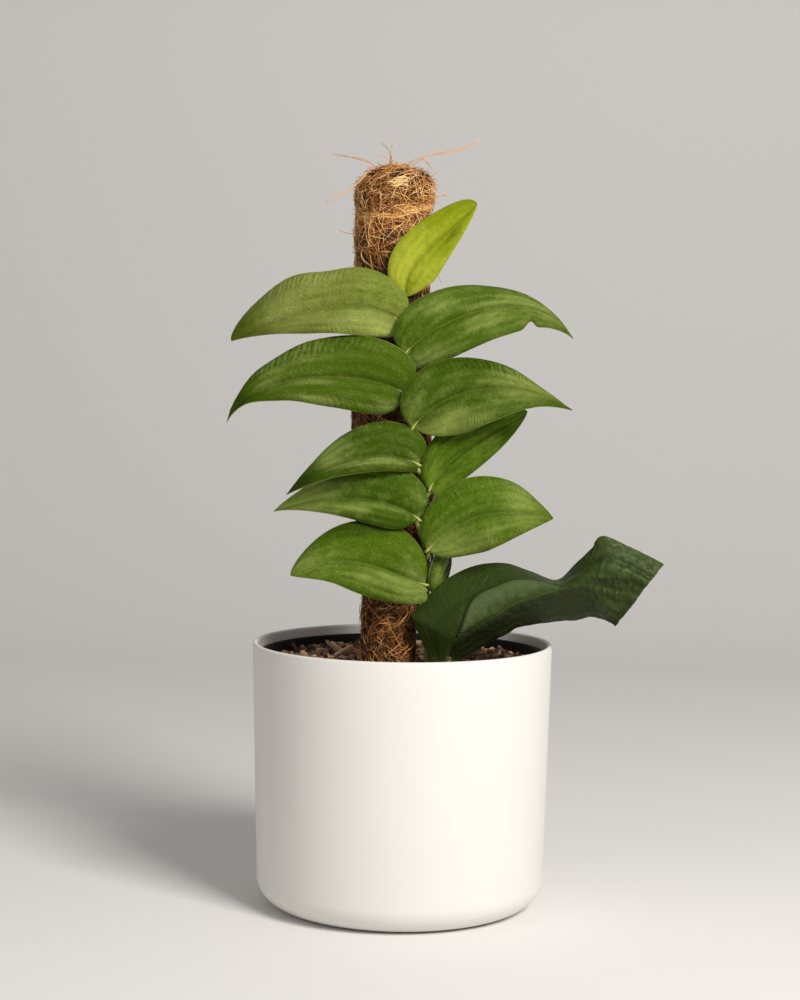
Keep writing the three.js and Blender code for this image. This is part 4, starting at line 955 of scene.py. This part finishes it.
def leaf_finish(name, light, deep, gloss, spots, dark_tip):
    """Material of a leaf: its deep green turns to its lit tone, and on to a brighter one, where
    the painted light field is high, as painted highlight, and to darker greens where it is low,
    in the pucker valleys and in the grooves, as painted shade. It is yellow at the foot, and has
    a fine pale rim and a fine net."""
    finish = Finish(name, IOR=1.45, Specular_IOR_Level=0.22, Specular_Tint=(0.95, 1.0, 0.45, 1.0))
    where, s, v, edge, cloud, fine, mottle, net = leaf_grounds(finish, (60.0, 850.0, 330.0), 3.0,
                                                               (30.0, 9.0), 0.08)
    u = abs(v)
    share = finish.field("sheen") + 0.3 * (cloud - 0.5) + 0.5 * (mottle - 0.5) + 0.6 * (fine - 0.5)
    run = s * BLADE_LENGTH + u * 5.0 + 7.0 * (cloud - 0.5) + 2.0 * (mottle - 0.5)
    pleats = abs(run.maths("SINE", run * (np.pi / 2.3)))
    pleated = finish.field("outer") * (1 - pleats) * finish.step(mottle, 0.3, 0.6)
    foot_tone = tuple(0.55 * value + 0.45 * other for value, other in zip(light, display(196, 200, 110)))
    midrib = (1 - finish.step(u, 0.0, 0.035)) * (0.8 - finish.step(s, 0.0, 0.14) * 0.62)
    # Painted highlight: the lit and the brighter tone. Painted shade: the half-deep tones for low painted
    # light, the pucker valleys and the grooves. The other layers are the leaf's own colour.
    colour = finish.layered(deep, [
        (finish.step(share, 0.0, 1.0), light),
        (finish.step(share, 0.9, 1.7), scaled(light, 1.5)),
        (finish.step(share, 0.0, -0.6), scaled(deep, 0.5)),
        (pleated * 0.5, scaled(deep, 0.5)),
        (finish.field("crease") * 0.5, scaled(deep, 0.42)),
        (net * 0.08, light),
        (midrib, foot_tone),
        ((1 - finish.step(s, 0.0, 0.07)) * (1 - finish.step(u, 0.1, 0.6)) * 0.5, foot_tone),
        ((1 - finish.step(edge, 0.05, 0.35)) * 0.5, foot_tone),
        (finish.step(finish.noise(where, 1300.0, 1.0), 0.66, 0.72) * spots, display(52, 66, 22)),
        (finish.step(s, 0.975, 1.0) * dark_tip, display(38, 40, 18)),
        (finish.field("back"), finish.mix(cloud, display(104, 120, 62), display(126, 140, 82)))])
    return finish.done(
        Base_Color=colour,
        Roughness=gloss + 0.14 * fine + 0.12 * cloud,
        Normal=finish.bump(fine * 0.5 + net * 0.4 + mottle * 1.3 - pleated * 1.2, 0.0005, 0.9))


# Each leaf's lit and deep tone as display values, roughness, strength of its bands, puckers, dark
# specks and tip, and its painted light: a base value and zones (place along, place aside, length,
# breadth, strength), painted highlight where the strength is above 0 and painted shade below it.
LOOKS = {
    "leaf_top": ((166, 173, 52), (128, 142, 12), 0.42, 0.45, 0.35, 0.10, 0.0, 0.55, [
        (0.25, 0.5, 0.3, 0.6, 0.45), (0.15, -0.8, 0.2, 0.35, 0.4), (0.8, -0.5, 0.15, 0.35, -0.9),
        (0.15, -0.3, 0.15, 0.3, -0.4), (0.9, 0.5, 0.2, 0.7, -0.45)]),
    "leaf_left_1": ((136, 147, 72), (90, 108, 20), 0.42, 0.80, 0.9, 0.25, 0.2, 0.42, [
        (0.3, -0.5, 0.25, 0.35, 0.5), (0.08, -0.8, 0.18, 0.4, 0.9), (0.52, 0.8, 0.12, 0.3, 0.6),
        (0.7, 0.1, 0.15, 0.8, 0.5), (1.0, 0.0, 0.14, 1.5, -0.8)]),
    "leaf_right_1": ((122, 137, 64), (60, 87, 0), 0.40, 1.15, 0.5, 0.15, 0.8, 0.18, [
        (0.3, 0.6, 0.1, 0.3, 0.5), (0.75, 0.35, 0.18, 0.35, 0.7), (0.88, 0.0, 0.2, 0.9, 0.5),
        (0.5, -0.4, 0.12, 0.3, 0.5), (0.5, 0.15, 0.1, 0.15, 0.4), (0.05, -0.8, 0.2, 0.4, 0.8)]),
    "leaf_left_2": ((114, 130, 62), (62, 86, 0), 0.38, 1.00, 1.8, 0.15, 0.9, 0.05, [
        (0.55, 0.6, 0.18, 0.4, 0.4), (0.5, -0.15, 0.12, 0.15, 0.6), (0.5, -0.8, 0.1, 0.2, 0.8),
        (0.72, 0.0, 0.1, 0.6, 0.55), (0.08, -0.7, 0.18, 0.3, 0.7), (1.0, 0.0, 0.18, 2.0, -1.1)]),
    "leaf_right_2": ((120, 135, 62), (54, 80, 0), 0.38, 1.00, 1.35, 0.15, 0.9, 0.2, [
        (0.8, 0.5, 0.18, 0.5, 0.7), (0.8, -0.2, 0.2, 0.5, 0.35), (0.3, -0.5, 0.15, 0.2, 0.8),
        (0.08, -0.8, 0.2, 0.4, 1.4), (0.4, -0.85, 0.2, 0.2, 0.6), (0.5, 0.9, 0.15, 0.25, -0.5),
        (0.1, 0.45, 0.1, 0.25, 0.4)]),
    "leaf_left_3": ((122, 138, 68), (54, 78, 0), 0.40, 1.00, 0.5, 0.15, 0.2, 0.1, [
        (0.68, 0.5, 0.15, 0.6, 0.75), (0.35, -0.35, 0.2, 0.3, 0.9), (0.65, -0.3, 0.12, 0.3, 0.3),
        (0.06, 0.1, 0.08, 0.3, 0.5), (1.0, 0.0, 0.18, 2.0, -1.2)]),
    "leaf_right_3": ((104, 128, 36), (56, 84, 0), 0.46, 0.70, 0.35, 0.15, 0.0, 0.3, [
        (0.06, 0.3, 0.12, 0.4, 0.5), (0.06, -0.8, 0.15, 0.4, 0.9), (0.65, -0.2, 0.12, 0.35, 0.5),
        (1.0, 0.0, 0.22, 2.0, -1.0)]),
    "leaf_left_4": ((124, 142, 64), (55, 82, 0), 0.40, 0.80, 0.4, 0.15, 0.3, 0.12, [
        (0.95, 0.0, 0.28, 2.0, 1.35), (0.5, -0.45, 0.12, 0.2, 0.85), (0.3, -0.15, 0.15, 0.15, 0.5),
        (0.1, 0.6, 0.08, 0.3, 0.3)]),
    "leaf_right_4": ((120, 138, 60), (64, 94, 0), 0.40, 0.90, 0.9, 0.15, 0.4, 0.2, [
        (0.75, 0.5, 0.14, 0.6, 0.6), (0.5, -0.45, 0.12, 0.2, 0.4), (0.08, -0.5, 0.18, 0.6, 1.1),
        (0.3, -0.8, 0.2, 0.25, 0.7), (0.82, -0.4, 0.2, 0.6, 0.4)]),
    "leaf_left_5": ((120, 138, 62), (68, 94, 0), 0.40, 0.80, 0.4, 0.15, 0.0, 0.15, [
        (0.6, 0.95, 0.22, 0.35, -1.1), (0.3, -0.2, 0.15, 0.15, 0.65), (0.5, -0.5, 0.15, 0.2, 0.5),
        (0.1, 0.25, 0.1, 0.3, 0.5), (0.08, -0.6, 0.2, 0.5, 0.9), (0.92, 0.0, 0.2, 1.0, 0.5)]),
    "leaf_right_5": ((122, 144, 58), (44, 62, 4), 0.44, 0.60, 0.3, 0.15, 0.0, -0.1, [
        (0.22, 0.3, 0.25, 0.7, 1.0)]),
}
ROWS, COLUMNS = 116, 53
s = ((1 - np.cos(np.pi * np.arange(ROWS + 1) / ROWS)) / 2)[:, None] + np.zeros((1, COLUMNS))
v = np.sin(np.pi / 2 * np.linspace(-1, 1, COLUMNS))[None, :] + np.zeros((ROWS + 1, 1))
u = np.abs(v)
half = 0.02 + 0.3 * np.sqrt(np.maximum(0, 1 - u ** 9))       # half the thickness of a blade
under = np.concatenate([np.zeros(s.size), np.ones(s.size)])
for number, leaf in enumerate(LEAVES):
    light, deep, gloss, ridged, pucker, spots, dark_tip, base, zones = LOOKS[leaf["name"]]
    middle_surface, out, width = blade(leaf, s, v)
    relief, sheen, crease, outer = veined(s, v, width, 60 + number, ridged, pucker, base, zones)
    front = middle_surface + out * (relief + half)[..., None]
    back = middle_surface + out * (relief * 0.85 - half)[..., None]
    finish = leaf_finish(leaf["name"] + "_green", display(*light), display(*deep), gloss, spots, dark_tip)
    sv = np.stack([s, v, (1 - u) * width], -1).reshape(-1, 3)
    sheen, crease, outer = [np.tile(field.ravel(), 2) for field in (sheen, crease, outer)]
    new_piece(leaf["name"] + "_blade", *sheet(front, back, True), leaf["name"], leaf["slot"], finish,
              sv=np.concatenate([sv, sv]), back=under, sheen=sheen, crease=crease, outer=outer)


# ---- Big old leaf ----
# One broad, dark, glossy leaf that grew first, low on the right. It is folded along its
# midrib into a roof, puckered, and torn off at its end, with the stalk going into the soil.

# From foot to torn end: a point each of the upper edge, the midrib and the lower edge.
OLD_SECTIONS = np.array([
    [(16, -19.5, 132.8), (23, -23, 132.3), (29, -21, 132.8)],
    [(11.5, -18.5, 141), (24.5, -25, 139), (32, -22, 136.5)],
    [(4.5, -18.5, 157), (27, -28, 145), (38.5, -22, 139)],
    [(15, -17.6, 170), (33, -30, 150), (46, -22, 144)],
    [(25, -15.8, 178), (40, -32, 154), (54, -23, 148)],
    [(39, -14, 184), (48, -34, 159), (60, -24, 152)],
    [(54, -13, 185), (58, -36, 166), (69, -25, 154)],
    [(67, -13, 181), (71, -38, 171), (80, -27, 156)],
    [(81, -17, 177), (83, -39, 175), (90, -29, 157)],
    [(90, -28, 187), (93, -40, 177), (98, -31, 159)],
    [(97, -34, 195), (101, -41, 176), (104, -33, 158)],
    [(103, -37, 202), (109, -42, 175), (107, -35, 157)],
    [(120, -38, 195), (116, -43, 174), (109, -37, 156)],
    [(135, -39, 188), (122, -44, 172), (110, -39, 155)]], float)
OLD_ROLL, OLD_ROWS, OLD_LAST = 2.6, 131, len(OLD_SECTIONS) - 1
OLD_LENGTH, OLD_HALF_WIDTH, OLD_TORN_LENGTH = 120, 32, 110
OLD_STALK = [(24.3, -22.3, 136.5), (24, -22, 130), (22.5, -19.5, 116)]

station = np.linspace(0, OLD_LAST, OLD_ROWS)[:, None]
upper, ridge, lower = [smooth_line(OLD_SECTIONS[:, k], OLD_ROWS)[:, None] for k in range(3)]
straight = np.stack([np.interp(station[:, 0], np.arange(OLD_LAST + 1), OLD_SECTIONS[:, 0, c])
                     for c in range(3)], -1)
upper = upper + (straight[:, None] - upper) * bell((station - 2) / 0.8)[..., None]
size = np.minimum(1, station / 3)
u = np.sin(np.pi / 2 * np.linspace(1, 0, 44))[None, :]
roll = OLD_ROLL * size * np.sin(np.pi * u) * (1.2 - 0.65 * ease((u - 0.35) / 0.2))
top = ridge + (upper - ridge) * u[..., None] + roll[..., None] * (0, -1, 0.3)
w = np.sin(np.pi / 2 * np.linspace(0, 1, 26))[None, 1:]
fall = 0.9 * size * np.sin(np.pi * w)
bottom = ridge + (lower - ridge) * w[..., None] + fall[..., None] * (0, -1, -0.4)
surface = np.concatenate([top, bottom], 1)
v = np.concatenate([u + 0 * station, -w + 0 * station], 1)
s = station / OLD_LAST + 0 * v
reach = np.where(v > 0, np.linalg.norm(upper - ridge, axis=-1), np.linalg.norm(lower - ridge, axis=-1))
normal = unit(np.cross(np.gradient(surface, axis=1), np.gradient(surface, axis=0)))
normal = normal * np.where(normal[..., 1:2] > 0, -1, 1)
fade = ease(s / 0.12)
flat = s * OLD_LENGTH, v * OLD_HALF_WIDTH
blisters = 0.5 * crumble(*flat, 21.0, 71) + 0.12 * crumble(*flat, 8.0, 72)
keel = bell(v * reach / 1.2)

# Beside the midrib the blade swells forward in a long lens with a sharp upper edge; the
# rest of the upper half lies flat behind it.
fold_at = 0.02 + 0.47 * ease((s - 0.17) / 0.2) * ease((0.63 - s) / 0.12)
folded = ease((s - 0.12) / 0.1) * ease((0.64 - s) / 0.08) * (v > 0)
inward = np.clip((fold_at - v) / fold_at, 0, 1)
swell = folded * ease(inward / 0.16) * (1 - 0.6 * inward)
valley = folded * bell((v - fold_at - 0.03) * reach)
left_lobe = (v > fold_at) * ease((0.66 - s) / 0.1)
torn_part = ease((s - 0.68) / 0.1)
pleat = torn_part * bell((v - 0.12 - 0.3 * (s - 0.8)) * reach / 2.6)
bulge = torn_part * bell((v + 0.5) / 0.25) * ease((0.97 - s) / 0.1)
second_pleat = torn_part * bell((v - 0.62 + 0.5 * (s - 0.8)) * reach / 2.2)
relief = (blisters * (1 - 0.6 * left_lobe) - 0.9 * keel - 0.2 * np.cos(2 * np.pi * 3.2 * v) * (v < 0)) * fade
crumpled = torn_part * crumble(*flat, 9.0, 75)
ribbed = bell((np.abs(v) - 0.13) * reach / 2.4) * np.abs(np.sin(np.pi * s * 30))
ribbed = ribbed * ease((s - 0.25) / 0.1)
relief = relief + 2.4 * swell - 0.3 * valley + 0.8 * crumpled + 0.35 * ribbed
relief = relief - 1.5 * pleat + 1.4 * bulge - 0.8 * second_pleat
ragged = ease((s - 0.95) / 0.05) * (0.55 * crumble(flat[1], s * 0 + 3, 9.0, 73) - 0.5)
surface = surface + unit(np.gradient(surface, axis=0)) * ragged[..., None]

# Fields of the colour, both painted light: lit is painted highlight on the band that faces the light between
# fold and midrib, on the upper side of the torn end, on its bulge and crumples; shade is painted shade in the
# valley, the pleats, along the midrib and over the lower half, which faces down.
band = folded * ease(inward / 0.1) * (1 - inward) ** 0.55
lit = 1.05 * band + 0.3 * ease((s - 0.66) / 0.1) * (v > 0.2) + 0.4 * bulge + 0.35 * crumpled
lit = lit + 0.25 * crumble(*flat, 8.0, 74) * (1 - left_lobe)
shade = 0.25 * valley + 0.75 * pleat + 0.45 * second_pleat
shade = shade + 0.85 * ease((-v - 0.02) / 0.1) * (1 - 0.55 * torn_part)
shade = shade + 0.5 * ease((0.05 - v) / 0.08) * ease((v + 0.2) / 0.1) * (1 - torn_part) - 0.3 * crumpled
half = 0.04 + 0.38 * np.sqrt(np.maximum(0, 1 - np.abs(v) ** 12))
half = half * np.sqrt(np.clip((1.004 - s) / 0.02, 0.15, 1))
front = surface + normal * (relief + half)[..., None]
back = surface + normal * (relief - half)[..., None]
edge = np.minimum((1 - np.abs(v)) * reach, (1 - s) * OLD_TORN_LENGTH)
sv = np.stack([s, v, edge], -1).reshape(-1, 3)
stalk = tubes(smooth_line(OLD_STALK, 16)[None], np.linspace(2.2, 1.9, 16)[None], 16)
stalk_size = len(stalk[0])
sv = np.concatenate([sv, sv, np.tile([0.0, 0.0, 3.0], (stalk_size, 1))])
under = np.concatenate([np.zeros(s.size), np.ones(s.size), np.zeros(stalk_size)])
lit, shade = [np.concatenate([np.tile(np.clip(field, 0, 1).ravel(), 2), np.full(stalk_size, 0.3)])
              for field in (lit, shade)]

old = Finish("leaf_old_green", IOR=1.48, Specular_IOR_Level=0.30, Specular_Tint=(0.95, 1.0, 0.7, 1.0))
where, down, aside, to_rim, cloud, fine, mottle, net = leaf_grounds(old, (55.0, 700.0, 260.0), 4.0,
                                                                    (36.0, 10.0), 0.07)
share = old.field("lit") + 0.35 * (cloud - 0.5) + 0.3 * (mottle - 0.5)
midrib = (1 - old.step(abs(aside), 0.0, 0.03)) * (1 - old.step(down, 0.62, 0.8))
# Over the deep green, the painted highlight tone by lit and the painted shade tone by shade; then the leaf's
# own net, midrib, flecks, rim, foot and underside.
colour = old.layered(display(40, 57, 10), [
    (old.step(share, 0.1, 0.95), display(78, 92, 54)),
    (old.field("shade") * 0.85, display(14, 21, 6)),
    (net * 0.12, display(86, 100, 60)),
    (midrib * 0.22, display(92, 104, 60)),
    (old.step(old.noise(where, 900.0, 2.0), 0.68, 0.74) * 0.35, display(98, 108, 74)),
    ((1 - old.step(to_rim, 0.1, 0.55)) * 0.45, display(104, 112, 70)),
    ((1 - old.step(down, 0.0, 0.06)) * 0.4, display(84, 98, 48)),
    (old.field("back"), display(60, 74, 38))])
old.done(Base_Color=colour, Roughness=0.34 + 0.16 * fine + 0.12 * cloud,
         Normal=old.bump(fine * 0.3 + net * 0.5 + mottle * 0.8, 0.0004, 0.6))
new_piece("leaf_basal_blade", *join([sheet(front, back, False), stalk]), "leaf_basal", "leaf_old",
          old.material, sv=sv, back=under, lit=lit, shade=shade)


# ---- Camera, floor and light ----
# Front view from a little above, as in the photograph; a pale paper sweep; one soft key
# light from the front right, a weak fill from the left, and a pale surround.

eye, target, roll = np.array([-2.2, -1097.8, 286.1]), np.array([-2.2, 0.0, 217.0]), np.radians(0.69)


def stand(name, data, place, side, up, back):
    """An object at a place in metres, with its own X, Y and Z along three directions."""
    pose = np.eye(4)
    pose[:3] = np.stack([side, up, back, place], -1)
    thing = bpy.data.objects.new(name, data)
    thing.matrix_world = Matrix(pose.tolist())
    bpy.context.scene.collection.objects.link(thing)
    return thing


forward = unit(target - eye)
right = unit(np.cross(forward, [0, 0, 1]))
above = np.cross(right, forward)
camera = stand("camera", bpy.data.cameras.new("camera"), eye * MM,
               np.cos(roll) * right + np.sin(roll) * above,
               np.cos(roll) * above - np.sin(roll) * right, -forward)
camera.data.lens, camera.data.sensor_width = 74.2, 36.0
bpy.context.scene.camera = camera

# The sweep: flat under the pot, curving up behind it.
PAPER_HALF_WIDTH, PAPER_FLAT, PAPER_BEND = 3200.0, 900.0, 700.0
profile = [(-3000.0, 0.0), (PAPER_FLAT, 0.0)]
profile += [(PAPER_FLAT + PAPER_BEND * np.sin(k), PAPER_BEND - PAPER_BEND * np.cos(k))
            for k in np.linspace(0.08, np.pi / 2, 18)]
profile += [(PAPER_FLAT + PAPER_BEND, 3200.0)]
sweep = np.array([[(x, y, z) for x in (-PAPER_HALF_WIDTH, PAPER_HALF_WIDTH)] for y, z in profile])
index = np.arange(len(profile) * 2).reshape(-1, 2)
paper = Finish("paper", IOR=1.3, Specular_IOR_Level=0.2)
fibre = paper.noise(paper.place(), 400.0, 3.0)
paper.done(Base_Color=paper.mix(fibre, (0.80, 0.795, 0.785), (0.84, 0.835, 0.825)),
           Roughness=0.85 + 0.1 * fibre)
mesh = bpy.data.meshes.new("paper_sweep")
mesh.from_pydata((sweep.reshape(-1, 3) * MM).tolist(), [], skin(index).tolist())
mesh.polygons.foreach_set("use_smooth", np.ones(len(mesh.polygons), bool))
mesh.materials.append(paper.material)
floor = bpy.data.objects.new("paper_sweep", mesh)
bpy.context.scene.collection.objects.link(floor)


def soft_light(name, place, aim, size, power, colour):
    """A square area light at a place, turned towards its aim."""
    lamp = bpy.data.lights.new(name, "AREA")
    lamp.size, lamp.energy, lamp.color = size, power, colour
    back = unit(np.subtract(place, aim))
    side = unit(np.cross([0, 0, 1], back))
    stand(name, lamp, place, side, np.cross(back, side), back)


soft_light("key", (0.85, -1.2, 1.15), (0, 0, 0.2), 0.6, 33, (1.0, 0.965, 0.915))
soft_light("fill", (-1.3, -1.0, 0.7), (0, 0, 0.2), 1.0, 2.0, (1.0, 0.93, 0.86))
world = bpy.data.worlds.new("surround")
bpy.context.scene.world = world
world.use_nodes = True
surround = world.node_tree.nodes["Background"].inputs
surround["Color"].default_value = (1.0, 0.98, 0.96, 1)
surround["Strength"].default_value = 0.27
bpy.context.scene.view_settings.view_transform = "Standard"
